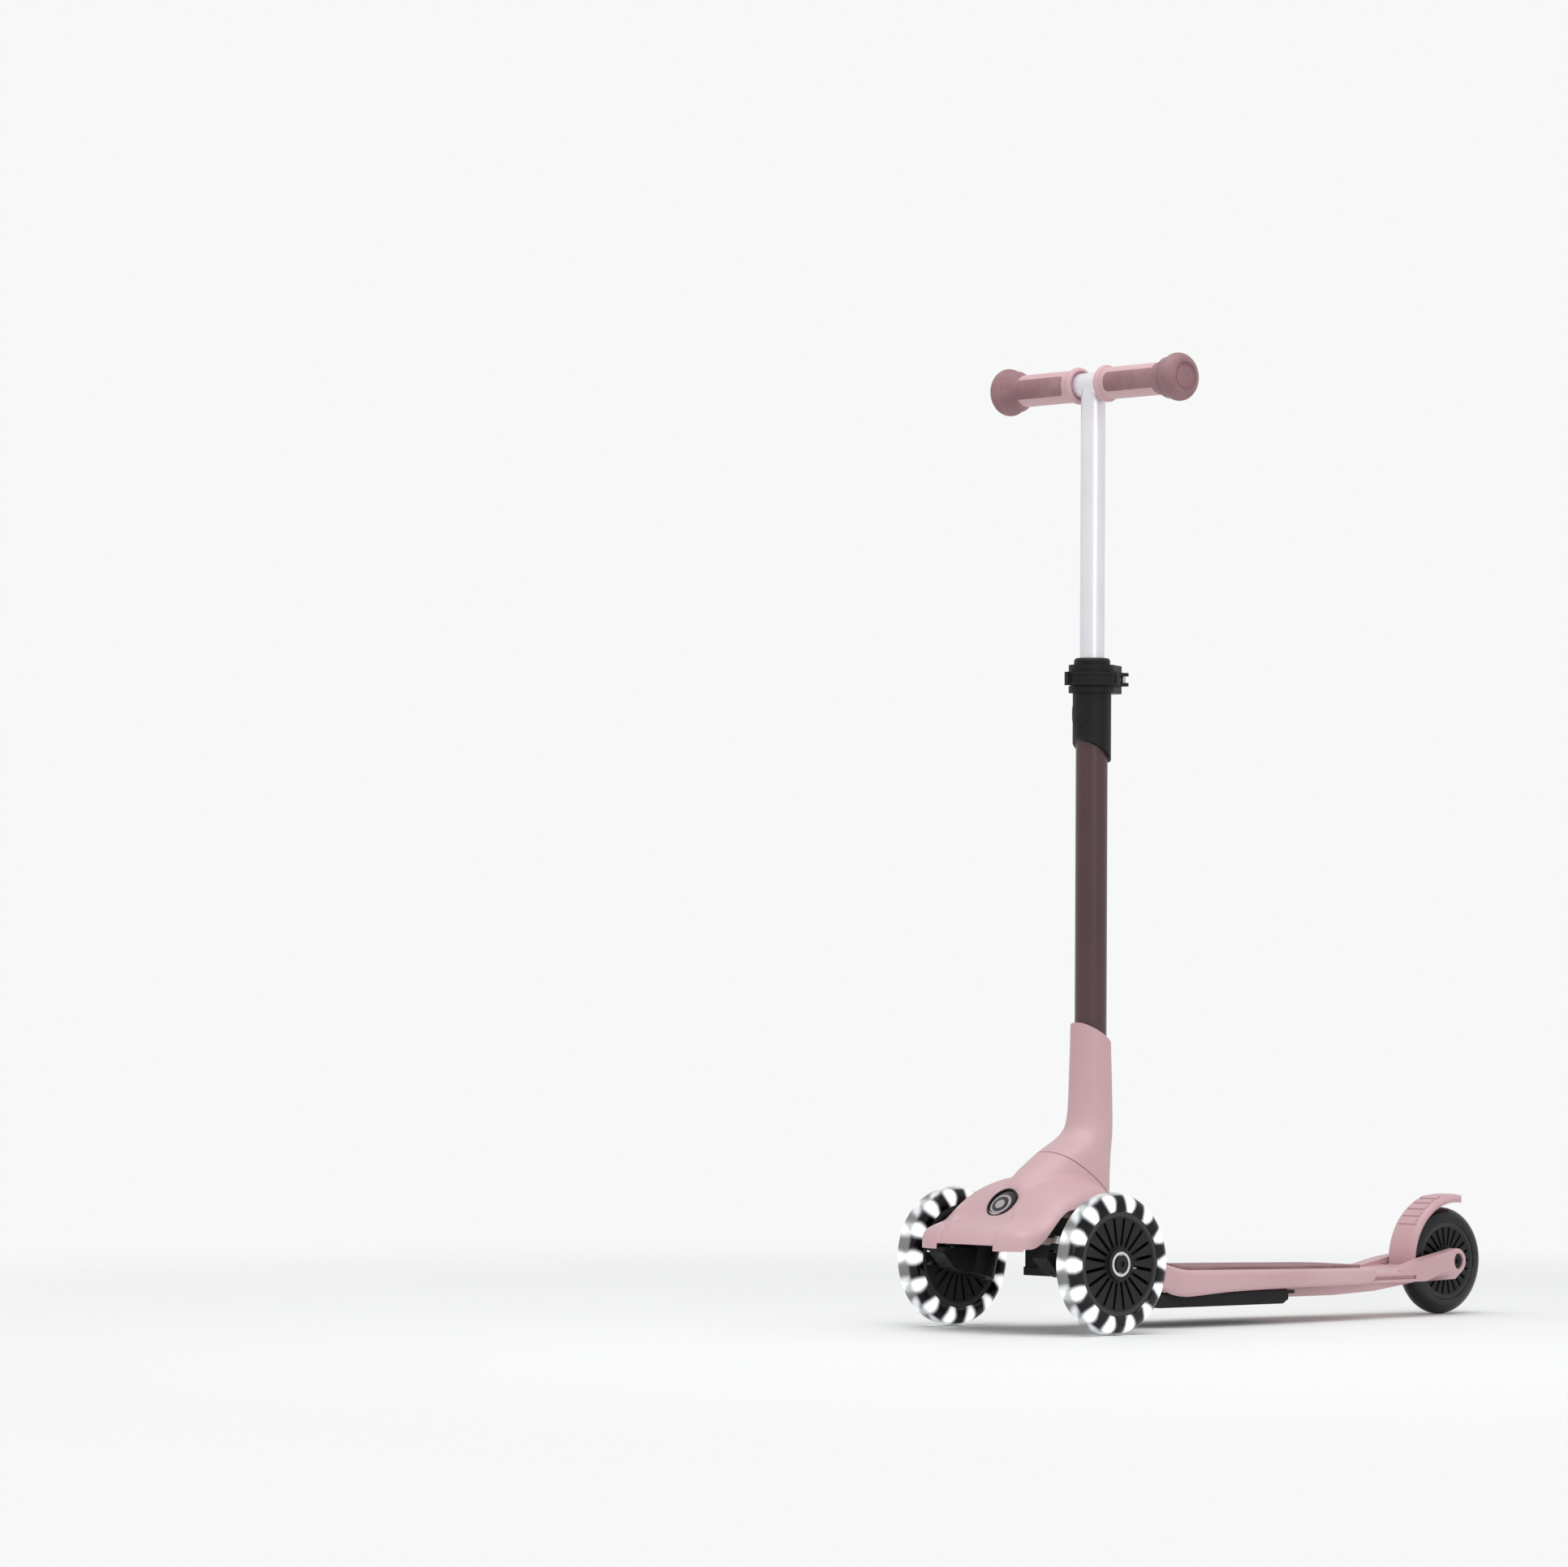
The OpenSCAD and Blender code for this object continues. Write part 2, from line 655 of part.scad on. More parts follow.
module clamp_collar() {
    ring_low = lever_z - slide_gap - flange_h;
    ring_high = lever_z + lever_h + slide_gap;
    color(black) difference() {
        union() {
            at_stem(collar_top - sleeve_len - 20) cylinder(d = sleeve_d, h = sleeve_len + 13);
            at_stem(collar_top - 7) cylinder(r = lip_r, h = 5);
            at_stem(collar_top - 2) cylinder(r1 = lip_r, r2 = lip_r - 1.5, h = 2, $fn = 64);
            for (z = [ring_low, ring_high]) at_stem(z) ear_plate(flange_r, flange_h);
            at_stem(ring_low) ear_plate(flange_r - 1.2, ring_high + flange_h - ring_low);
            at_stem(collar_top - 50) intersection() {
                translate([0, 0, -20]) cylinder(d = sleeve_d + 1.2, h = 40);
                rotate([90, 0, 0]) cylinder(r = 11.5, h = 40);
            }
        }
        at_stem(collar_top - sleeve_len - 30) cylinder(d = outer_tube_d, h = sleeve_len + 22);
        at_stem(collar_top - 9) cylinder(d = inner_tube_d + 1, h = 12);
        at_stem(collar_top - 40) translate([-1, 5, 0]) cube([2, 40, 60]);
        at_stem(lever_z + lever_h / 2) translate([0, ear_y, 0]) along_x() cylinder(d = 5, h = 80, center = true);
        at_stem(lever_z + lever_h / 2) translate([-ear_r - 0.1, ear_y, 0]) along_x(-1) cylinder(d = 10, h = 20);
        at_stem(lever_z - 0.4) translate([ear_r - 3.4, ear_y - 10, 0]) cube([20, 30, lever_h + 0.8]);
        at_stem(collar_top - sleeve_len) rotate([-atan(cut_slope), 0, 0])
            translate([-60, -60, -90]) cube([120, 120, 90]);
    }
}

module clamp_bolt() {
    color(steel) at_stem(lever_z + lever_h / 2) translate([0, ear_y, 0]) {
        along_x(-1) cylinder(d = 5, h = ear_r + 3.4);
        along_x() cylinder(d = 5, h = lever_x - lever_pin_d / 2 - 0.6);
        translate([-ear_r - 0.1, 0, 0]) along_x(-1) cylinder(d = 9, h = 3.6);
    }
}

lever_pin_d = 4;
module lever_pin() {
    color(steel) at_stem(lever_z + 0.4) translate([lever_x, ear_y, 0])
        cylinder(d = lever_pin_d, h = lever_h - 0.8);
}

lever_start = -112;
lever_end = acos((lever_x + 2) / lever_in);
lever_hub_r = 4.8;
module lever_arc(from, to, inner, outer, h) {
    rotate(from) rotate_extrude(angle = to - from, $fn = 96)
        translate([inner, 0]) square([outer - inner, h]);
}
module clamp_lever() {
    color(black) at_stem(lever_z) difference() {
        union() {
            lever_arc(lever_start, lever_end, lever_in, lever_out, lever_h);
            lever_arc(lever_start + 1, lever_start + 14, lever_out - 1, lever_out + 1.4, lever_h);
            translate([lever_x, ear_y, 0]) cylinder(r = lever_hub_r, h = lever_h);
            difference() {
                translate([lever_x - 1, 14, 0]) cube([lever_hub_r + 0.6, ear_y - 14, lever_h]);
                translate([0, 0, -1]) cylinder(r = lever_in + 0.6, h = lever_h + 2, $fn = 96);
            }
        }
        translate([lever_x, ear_y, -1]) cylinder(d = lever_pin_d + 2 * run_gap, h = lever_h + 2);
        translate([lever_x - 14, ear_y - 8, lever_h / 2 - 3]) cube([14 + lever_hub_r + 1, 16, 6]);
        translate([0, 0, lever_h / 2 - 3.4]) lever_arc(-92, 14, lever_out - 0.7, lever_out + 3, 6.8);
    }
}

module inner_tube() {
    color(steel) difference() {
        at_stem(inner_bottom) tube(inner_tube_d, inner_tube_d - 2 * inner_tube_wall,
                                   bar_height - inner_bottom - 2);
        at_stem(bar_height) translate([-60, 0, 0]) along_x() cylinder(d = inner_tube_d, h = 120);
    }
}
module guide_plug() {
    gap = 2 * 0.1;
    color(black) at_stem(inner_bottom - 4) {
        cylinder(d = outer_bore - gap, h = 4);
        translate([0, 0, 4]) cylinder(d = inner_tube_d - 2 * inner_tube_wall, h = plug_len);
    }
}
module cross_tube() {
    color(steel) at_stem(bar_height) translate([-cross_len / 2, 0, 0]) along_x()
        tube(inner_tube_d, inner_tube_d - 2 * inner_tube_wall, cross_len);
}

// ---- grips -------------------------------------------------------------------

grip_bore = inner_tube_d + 0.2;
core_end = 100;
panel_start = 27;
panel_half = 8.8;
panel_depth = 1.6;
knob_start = 86;
module at_grip(side) { at_stem(bar_height) along_x(side) children(); }

// The two panels, front and back, that the sleeve fills in the core.
module panel_form(outer, inner) {
    intersection() {
        translate([0, 0, panel_start]) tube(outer, inner, core_end - panel_start + 1);
        union() {
            translate([-panel_half, -40, panel_start + 4]) cube([2 * panel_half, 80, 100]);
            translate([-panel_half + 4, -40, panel_start]) cube([2 * panel_half - 8, 80, 100]);
            for (x = [-1, 1]) translate([x * (panel_half - 4), 40, panel_start + 4])
                rotate([90, 0, 0]) cylinder(r = 4, h = 80);
        }
    }
}

module grip_core(side) {
    color(pink) difference() {
        at_grip(side) union() {
            translate([0, 0, grip_start]) cylinder(d = grip_d, h = core_end - grip_start);
            translate([0, 0, grip_start + 3]) rotate_extrude($fn = 64)
                translate([grip_ring_d / 2 - 3, 0]) circle(r = 3, $fn = 32);
            translate([0, 0, grip_start]) cylinder(d = grip_ring_d - 6, h = 6);
        }
        at_grip(side) panel_form(grip_d + 2, grip_d - 2 * panel_depth);
        at_grip(side) translate([0, 0, -1]) cylinder(d = grip_bore, h = core_end + 10);
        at_grip(side) translate([0, 0, grip_start - 1]) cylinder(d = grip_bore + 4.4, h = 4);
        at_grip(side) translate([0, 0, knob_start]) tube(grip_d + 4, grip_d - 2 * panel_depth, 40);
    }
}

// Outline of the knob: a flare from the grip, a round crown, a shallow end.
knob_crown = 8.5;
function knob_profile() = concat(
    [[grip_d / 2 - panel_depth, knob_start], [grip_d / 2 + 0.1, knob_start], [grip_d / 2 + 1.2, knob_start + 5],
     [grip_d / 2 + 4, knob_start + 10.5]],
    [for (a = [-50 : 10 : 80]) [knob_d / 2 - knob_crown + knob_crown * cos(a),
                                grip_end - knob_crown + knob_crown * sin(a)]],
    [[cap_r + 0.6, grip_end], [cap_r + 0.6, grip_end - 3], [grip_d / 2 - panel_depth, grip_end - 3]]);
cap_r = 12.4;
module grip_sleeve(side) {
    color(mauve) at_grip(side) {
        panel_form(grip_d + 0.4, grip_d - 2 * panel_depth);
        rotate_extrude($fn = 72) polygon(knob_profile());
    }
}
module grip_cap(side) {
    color(mauve) at_grip(side) difference() {
        union() {
            translate([0, 0, grip_end - 3]) cylinder(r = cap_r + 0.6, h = 2);
            translate([0, 0, grip_end - 9]) cylinder(r = grip_bore / 2 - 0.2, h = 7);
        }
        translate([0, 0, grip_end - 1.6]) tube(2 * cap_r - 3, 2 * cap_r - 4.4, 4);
    }
}

// ---- deck --------------------------------------------------------------------

// Rows of the deck shell: station, half width less the widest, underside. Behind 160 the stations
// stretch with the deck.
function station(y) = mix(160, deck_end, (y - 160) / 241);
deck_rows = [
    [deck_front, -20, 50], [100, -15, 45], [107, -10, 40], [116, -6, 34.5],
    [127, -3, 29.5], [142, -1, 27.4], [160, 0, 28.2], [station(200), 0, 30.6], [station(250), -0.6, 31.6],
    [station(300), -3.4, 32], [station(345), -7.5, 32.2], [deck_end - 30, -10, 32.2],
    [deck_end - 12, -11.6, 32.2], [deck_end - 4, -12.6, 34], [deck_end, -14, 37.5]
];
deck_steps = 2;
// Height of the deck's top: a straight line that curls up towards the nose.
function top_line(y) = mix(deck_top_front, deck_top_rear, (y - 150) / (deck_end - 150))
    + 15 * pow(max(0, (150 - y) / 50), 1.8);
function deck_ring(u, inset, drop) =
    let (y = spline(deck_rows, u, 0), w = deck_half_w + spline(deck_rows, u, 1) - inset,
         top = top_line(y) - inset, low = spline(deck_rows, u, 2) + inset - drop,
         r = 5, k = 4)
    concat(
        [for (j = [0 : k]) let (a = -90 + j * 90 / k) [w - r + r * cos(a), y, low + r + r * sin(a)]],
        [for (j = [0 : k]) let (a = j * 90 / k) [w - r + r * cos(a), y, top - r + r * sin(a)]],
        [for (j = [k : -1 : 0]) let (a = j * 90 / k) [-w + r - r * cos(a), y, top - r + r * sin(a)]],
        [for (j = [k : -1 : 0]) let (a = -90 + j * 90 / k) [-w + r - r * cos(a), y, low + r + r * sin(a)]]);

module deck_form(inset, drop, from = 0) {
    skin([for (i = [from * deck_steps : (len(deck_rows) - 1) * deck_steps])
        deck_ring(i / deck_steps, inset, drop)]);
}

mat_seat = 1.5;
function mat_half(y) = deck_half_w - mat_margin - 10 * smooth((y - 260) / 170);
module mat_form(low, high, grow = 0) {
    count = 24;
    skin([for (i = [0 : count])
        let (t = i / count, y = mix(mat_front - grow, mat_end + grow, t),
             end = min(t, 1 - t) * (mat_end - mat_front), round = 14,
             w = mat_half(y) + grow - (end < round ? 10 * (1 - sqrt(1 - pow(1 - end / round, 2))) : 0))
        [[-w, y, top_line(y) + low], [w, y, top_line(y) + low], [w, y, top_line(y) + high],
         [-w, y, top_line(y) + high]]]);
}

boss_x = 39;
boss_rows = [140, 180, 220];
screw_d = 3.5;
module deck_screw_holes(d, low, high) {
    for (x = [-boss_x, boss_x], y = boss_rows) translate([x, y, low]) cylinder(d = d, h = high - low);
}

module deck_shell() {
    color(pink) at_front() difference() {
        deck_form(0, 0);
        difference() {
            deck_form(deck_wall, 14, 3);
            translate([-60, 0, 0]) cube([120, 121, 80]);
            deck_screw_holes(8, rail_bottom + rail_t + 0.1, 60);
        }
        deck_screw_holes(screw_d, 10, rail_bottom + rail_t + 10);
        mat_form(-mat_seat, 8, 0.3);
        translate([-tongue_w - 4, deck_end - 30, 20]) cube([2 * tongue_w + 8, 60, 20]);
        translate([-tail_w / 2, 80, tail_low]) cube([tail_w, tail_end - 80, tail_t]);
        for (x = [-tail_screw_x, tail_screw_x]) translate([x, tail_screw_y, 20]) {
            cylinder(d = 9, h = tail_low - 23);
            cylinder(d = 4, h = 30);
        }
        translate([-rail_half - slide_gap, rail_front - 1, 10])
            cube([2 * (rail_half + slide_gap), 30, rail_bottom + rail_t - 10 + 0.1]);
    }
}

module deck_mat() {
    color(mauve) at_front() difference() {
        mat_form(-mat_seat + 0.05, mat_t - mat_seat);
        for (i = [0 : 32], side = [-1, 1])
            let (y = mat_front + 14 + i * 7) translate([side * (mat_half(y) - 4), y, top_line(y) + 0.9])
                cylinder(d = 2.4, h = 4, $fn = 16);
    }
}

rail_half = 44;
rail_t = 12;
rail_floor = 1.6;
module under_rail() {
    channel = tongue_w + slide_gap;
    color(black) at_front() difference() {
        union() {
            hull() {
                translate([-rail_half + 5, rail_front + 4, rail_bottom + 3]) cube([2 * rail_half - 10, 4, 9]);
                translate([-rail_half, rail_front + 14, rail_bottom]) cube([2 * rail_half, 4, rail_t]);
                translate([-rail_half, rail_end - 8, rail_bottom]) cube([2 * rail_half, 1, rail_t]);
                translate([-rail_half, rail_end - 3, rail_bottom + 4]) cube([2 * rail_half, 3, rail_t - 4]);
            }
            translate([-rail_half, rail_end - 4, rail_bottom + rail_t - 3]) cube([2 * rail_half, 12, 3]);
        }
        translate([-channel, rail_front + 24, rail_bottom + rail_floor]) cube([2 * channel, 200, 30]);
        deck_screw_holes(screw_d, 10, 60);
        deck_screw_holes(7.4, 10, rail_bottom + 2.4);
    }
}
module deck_screws() {
    color(steel) at_front() for (x = [-boss_x, boss_x], y = boss_rows) translate([x, y, rail_bottom + 0.2]) {
        cylinder(d = 7, h = 2.2);
        cylinder(d = screw_d, h = rail_t + 6);
    }
}

// The extension: a tongue in the deck, a plate behind it, and two arms that close in on the wheel.
ext_half = deck_half_w - 14 - deck_wall - slide_gap - 0.5;
ext_low = 33;
ext_top = deck_top_rear - deck_wall - slide_gap;
tongue_low = 23.3;
slot_z = 35.6;
slot_h = 3.4;
slot_end = 460;
arm_r = 11.8;
well_half = fender_w / 2 + 1;
module rear_extension() {
    ramp = deck_end + slide_travel + 1;
    color(pink) at_front() difference() {
        union() {
            translate([-tongue_w, tongue_front, tongue_low]) cube([2 * tongue_w, 60, ext_top - tongue_low]);
            hull() {
                translate([-tongue_w, tongue_front + 58, tongue_low]) cube([2 * tongue_w, 2, 12]);
                translate([-tongue_w, deck_end + 2, tongue_low + 2.4]) cube([2 * tongue_w, 2, 12]);
                translate([-tongue_w + 6, plate_end - 14, ext_low - 1]) cube([2 * tongue_w - 12, 4, 8]);
            }
            translate([-ext_half, tongue_front + 50, ext_low])
                cube([2 * ext_half, ramp - tongue_front - 50, ext_top - ext_low]);
            hull() {
                translate([-ext_half, ramp - 1, ext_low]) cube([2 * ext_half, 1, ext_top - ext_low]);
                translate([-ext_half + 4, plate_end - 2, ext_low]) cube([2 * ext_half - 8, 2, 14.6]);
            }
            for (side = [-1, 1]) hull() {
                translate([side * fork_in, wheelbase, rear_r]) along_x(side)
                    cylinder(r = arm_r, h = fork_out - fork_in, $fn = 48);
                translate([side * fork_in, wheelbase - 2, rear_r - arm_r]) along_x(side)
                    cylinder(r = 5, h = fork_out - fork_in - 2, $fn = 32);
                translate([side * (ext_half - 7) - 7, ramp - 2, ext_low]) cube([14, 1, ext_top - ext_low]);
                translate([side * (ext_half - 12) - 7, plate_end - 2, ext_low]) cube([17, 1, 20]);
            }
        }
        translate([-fork_in, plate_end, 0]) cube([2 * fork_in, 200, 200]);
        for (side = [-1, 1]) translate([side * ext_half, tongue_front + 40, ext_top]) rotate([0, 45, 0])
            translate([-1.6, 0, -1.6]) cube([3.2, ramp - tongue_front - 40, 3.2]);
        translate([-well_half, fender_pin_y - hinge_r - 0.6, 36]) cube([2 * well_half, 29, 60]);
        for (side = [-1, 1]) translate([side * ext_half - 3.4, tongue_front + 62, slot_z])
            cube([6.8, slot_end - tongue_front - 62, slot_h]);
        translate([-tongue_w + 3, tongue_front + 3, tongue_low - 1])
            cube([2 * tongue_w - 6, 110, ext_top - tongue_low - 2]);
        translate([0, wheelbase, rear_r]) along_x() cylinder(d = axle_d, h = 120, center = true);
        for (side = [-1, 1]) translate([side * (fork_out - bolt_seat), wheelbase, rear_r]) along_x(side)
            cylinder(d = 15, h = 30);
        at_fender_pin() along_x() cylinder(d = fender_pin_d, h = 64, center = true);
    }
}

// ---- brake -------------------------------------------------------------------

// The fender curves about a point behind the axle, so its gap to the tyre opens towards the tip.
fender_back = 8;
fender_front = wheelbase + fender_back - fender_r;
fender_pin_y = fender_front - 3.5;
fender_pin_z = 42;
hinge_r = 4.4;
module at_fender_pin() { translate([0, fender_pin_y, fender_pin_z]) children(); }

// Section of the hood across the wheel: a round crown and two side walls, of even thickness.
function hood_line(r, half) = [for (i = [-8 : 8]) [r - 4.8 * pow(abs(i / 8), 3), half * sin(90 * i / 8)]];
function fender_profile() =
    let (outer = hood_line(fender_r, fender_w / 2),
         inner = hood_line(fender_r - fender_t, fender_w / 2 - fender_t * 0.8))
    concat(outer, [for (i = [16 : -1 : 0]) inner[i]]);

// The hood seen from above: straight sides and a round tip.
module fender_plan() {
    translate([0, rear_y, 0]) {
        translate([-fender_w, -100, 20]) cube([2 * fender_w, 106, 120]);
        translate([0, 6, 20]) cylinder(r = fender_w / 2 + 0.6, h = 120);
    }
}

fender_tip = 161;
tread_count = 5;
module brake_fender() {
    color(pink) difference() {
        union() {
            intersection() {
                fender_plan();
                translate([0, rear_y + fender_back, rear_r]) along_x() rotate(fender_tip)
                    rotate_extrude(angle = 275 - fender_tip, $fn = 96) polygon(fender_profile());
            }
            translate([0, rear_y + fender_back, rear_r]) along_x()
                for (i = [0 : tread_count - 1]) rotate(196 + i * 8.6)
                    rotate_extrude(angle = 5.6, $fn = 96)
                        translate([fender_r - 1.5, -fender_w / 2 + 6]) square([2.3, fender_w - 12]);
            at_front() rotate([90, 0, 90]) linear_extrude(fender_w - 4, center = true)
                polygon([[fender_pin_y - 3, fender_pin_z + 2.8], [fender_pin_y + 2, fender_pin_z - 3.6],
                         [fender_front + 2.6, fender_pin_z + 4.6], [fender_front + 1.2, fender_pin_z + 5.6]]);
            at_front() at_fender_pin() along_x() cylinder(r = hinge_r, h = fender_w - 2, center = true);
        }
        at_front() at_fender_pin() along_x()
            cylinder(d = fender_pin_d + 2 * run_gap, h = 100, center = true);
        at_front() at_fender_pin() translate([-6.5, -8, -8]) cube([13, 9.5, 16]);
        at_front() at_fender_pin() translate([-6.5, 0, -hinge_r]) cube([13, hinge_r, 2 * hinge_r]);
    }
}
module fender_pin() {
    reach = 29;
    color(steel) at_front() at_fender_pin() along_x() cylinder(d = fender_pin_d, h = 2 * reach, center = true);
}
module fender_spring() {
    wire = 1;
    color(steel) at_front() at_fender_pin() along_x() translate([0, 0, -4.6])
        coil(fender_pin_d / 2 + wire / 2 + 0.3, wire, 1.6, 5.5);
}

deck_shell();
deck_mat();
under_rail();
deck_screws();
rear_extension();
brake_fender();
fender_pin();
fender_spring();
rear_tyre();
rear_hub();
rear_bearings();
rear_spacer();
rear_axle_bolt();
rear_axle_nut();
head_cover();
badge();
badge_rim();
steering_column();
chassis();
chassis_screws();
kingpins();
kingpin_nuts();
knuckle(1);  // knuckle_left
knuckle(-1);  // knuckle_right
tie_rod();
tie_pin(1);  // tie_pin_left
tie_pin(-1);  // tie_pin_right
centring_spring(1);  // spring_left
centring_spring(-1);  // spring_right
front_tyre(1);  // tyre_left
front_tyre(-1);  // tyre_right
lamps(1);  // lamps_left
lamps(-1);  // lamps_right
front_hub(1);  // hub_left
front_hub(-1);  // hub_right
front_bearings(1);  // bearings_left
front_bearings(-1);  // bearings_right
front_spacer(1);  // spacer_left
front_spacer(-1);  // spacer_right
front_axle_bolt(1);  // axle_bolt_left
front_axle_bolt(-1);  // axle_bolt_right
outer_tube();
clamp_collar();
clamp_lever();
lever_pin();
clamp_bolt();
tube_bush();
inner_tube();
guide_plug();
cross_tube();
grip_core(1);  // grip_core_left
grip_core(-1);  // grip_core_right
grip_sleeve(1);  // grip_sleeve_left
grip_sleeve(-1);  // grip_sleeve_right
grip_cap(1);  // grip_cap_left
grip_cap(-1);  // grip_cap_right
release_button();
button_spring();
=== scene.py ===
import json
import math

import bmesh
import bpy
from mathutils import Matrix, Vector


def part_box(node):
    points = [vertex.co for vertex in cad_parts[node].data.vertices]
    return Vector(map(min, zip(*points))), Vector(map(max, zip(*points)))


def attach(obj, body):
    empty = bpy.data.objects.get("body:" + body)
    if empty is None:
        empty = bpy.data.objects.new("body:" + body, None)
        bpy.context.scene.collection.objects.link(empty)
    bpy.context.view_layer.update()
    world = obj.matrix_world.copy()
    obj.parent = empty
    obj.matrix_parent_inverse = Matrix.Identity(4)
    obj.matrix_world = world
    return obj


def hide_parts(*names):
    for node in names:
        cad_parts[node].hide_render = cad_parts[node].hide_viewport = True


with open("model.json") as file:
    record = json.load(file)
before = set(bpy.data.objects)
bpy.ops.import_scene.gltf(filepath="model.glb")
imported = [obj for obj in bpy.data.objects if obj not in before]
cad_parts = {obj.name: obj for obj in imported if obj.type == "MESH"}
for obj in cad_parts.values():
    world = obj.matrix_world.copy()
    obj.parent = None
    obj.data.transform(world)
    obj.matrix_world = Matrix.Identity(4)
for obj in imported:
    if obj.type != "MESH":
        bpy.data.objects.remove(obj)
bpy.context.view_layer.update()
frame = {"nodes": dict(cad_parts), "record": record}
nodes = frame["nodes"]
bodyOf = {n: b for b, members in frame["record"]["behaviour"]["bodies"].items() for n in members}
slotOf = {s["node"]: s["material_slot"] for s in frame["record"]["subparts"]}
print("frame loaded,", len(nodes), "nodes")


def mm(value):
    return value / 1000


def middle(node):
    low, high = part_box(node)
    return (low + high) / 2


frontWheel = {"left": middle("hub_left"), "right": middle("hub_right")}
rearWheel = middle("rear_hub")
frontY = frontWheel["left"].y


# Socket maths: an expression on values adds its Math nodes.
class Value:
    def __init__(self, tree, socket):
        self.tree = tree
        self.socket = socket

    def node(self, kind, settings=None, **sockets):
        made = self.tree.nodes.new(kind)
        for key, setting in (settings or {}).items():
            if key == "stops":
                ramp = made.color_ramp
                while len(ramp.elements) > 1:
                    ramp.elements.remove(ramp.elements[0])
                for index, (place, colour) in enumerate(setting):
                    stop = ramp.elements[0] if index == 0 else ramp.elements.new(place)
                    stop.position = place
                    stop.color = (*colour, 1)
            else:
                setattr(made, key, setting)
        for key, given in sockets.items():
            at = int(key[2:]) if key.startswith("at") else key.replace("_", " ")
            target = made.inputs[at]
            if isinstance(given, Value):
                self.tree.links.new(given.socket, target)
            else:
                target.default_value = given
        return made

    def take(self, made, output=0):
        return Value(self.tree, made.outputs[output])

    def maths(self, operation, first, second=None, third=None):
        given = {"at0": first}
        if second is not None:
            given["at1"] = second
        if third is not None:
            given["at2"] = third
        return self.take(self.node("ShaderNodeMath", {"operation": operation}, **given))

    def __add__(self, other):
        return self.maths("ADD", self, other)

    def __radd__(self, other):
        return self.maths("ADD", other, self)

    def __sub__(self, other):
        return self.maths("SUBTRACT", self, other)

    def __rsub__(self, other):
        return self.maths("SUBTRACT", other, self)

    def __mul__(self, other):
        return self.maths("MULTIPLY", self, other)

    def __rmul__(self, other):
        return self.maths("MULTIPLY", other, self)

    def __pow__(self, other):
        return self.maths("POWER", self, other)

    def band(self, low, high):
        return self.take(self.node("ShaderNodeMapRange", {"interpolation_type": "SMOOTHSTEP"},
                                   Value=self, From_Min=low, From_Max=high))

    def wave(self, turns):
        return self.maths("COSINE", self * turns)

    def noise(self, where, scale, detail=2.0, rough=0.5):
        made = self.node("ShaderNodeTexNoise", Vector=where, Scale=scale, Detail=detail, Roughness=rough)
        return self.take(made, 0)

    def stretch(self, where, size):
        made = self.node("ShaderNodeMapping", Vector=where)
        made.inputs["Scale"].default_value = size
        return self.take(made)

    def blend(self, factor, first, second):
        made = self.node("ShaderNodeMix", {"data_type": "RGBA"}, at0=factor, at6=first, at7=second)
        return self.take(made, 2)

    def bump(self, height, strength, distance):
        made = self.node("ShaderNodeBump", Height=height, Strength=strength, Distance=distance)
        return self.take(made)


def newFinish(name, **constants):
    made = bpy.data.materials.new(name)
    made.use_nodes = True
    tree = made.node_tree
    shader = next(n for n in tree.nodes if n.type == "BSDF_PRINCIPLED")
    for key, given in constants.items():
        shader.inputs[key.replace("_", " ")].default_value = given
    coords = tree.nodes.new("ShaderNodeTexCoord")
    place = Value(tree, coords.outputs["Object"])
    return made, shader, place


def wire(tool, shader, **links):
    for key, given in links.items():
        target = shader.inputs[key.replace("_", " ")]
        if isinstance(given, Value):
            tool.tree.links.new(given.socket, target)
        else:
            target.default_value = given


def axes(place):
    split = place.node("ShaderNodeSeparateXYZ", at0=place)
    return [place.take(split, i) for i in range(3)]


# Moulded shell plastic: faint flow marks, a fine spark-eroded grain and slightly worn high spots.
shellLook = {"colour": (0.6, 0.375, 0.405, 1), "pale": (0.655, 0.43, 0.458, 1), "rough": 0.34,
             "grain": 1500, "cloud": 9}


def shellPlastic(name, look):
    made, shader, place = newFinish(name, Coat_Roughness=0.35, Specular_IOR_Level=0.42)
    cloud = place.noise(place, look["cloud"], 3.0)
    grain = place.noise(place, look["grain"], 1.0)
    scuff = place.noise(place.stretch(place, (60, 9, 60)), 6.0, 4.0, 0.6).band(0.62, 0.78)
    wire(place, shader, Base_Color=place.blend(cloud.band(0.3, 0.8), look["colour"], look["pale"]),
         Roughness=look["rough"] + cloud * 0.08 + scuff * 0.1, Coat_Weight=0.12,
         Normal=place.bump(grain, 0.08, 0.00008))
    return made


# Soft-touch rubber with a fine pebble and a dusty bloom.
rubberLook = {"colour": (0.27, 0.135, 0.155, 1), "bloom": (0.36, 0.21, 0.225, 1), "rough": 0.62,
              "pebble": 2600}


def softRubber(name, look):
    made, shader, place = newFinish(name, Sheen_Weight=0.15, Sheen_Roughness=0.5,
                                    Specular_IOR_Level=0.35)
    bloom = place.noise(place, 30, 4.0, 0.6)
    pebble = place.noise(place, look["pebble"], 2.0)
    wire(place, shader, Base_Color=place.blend(bloom.band(0.35, 0.75), look["colour"], look["bloom"]),
         Roughness=look["rough"] + bloom * 0.12, Normal=place.bump(pebble, 0.22, 0.00012))
    return made


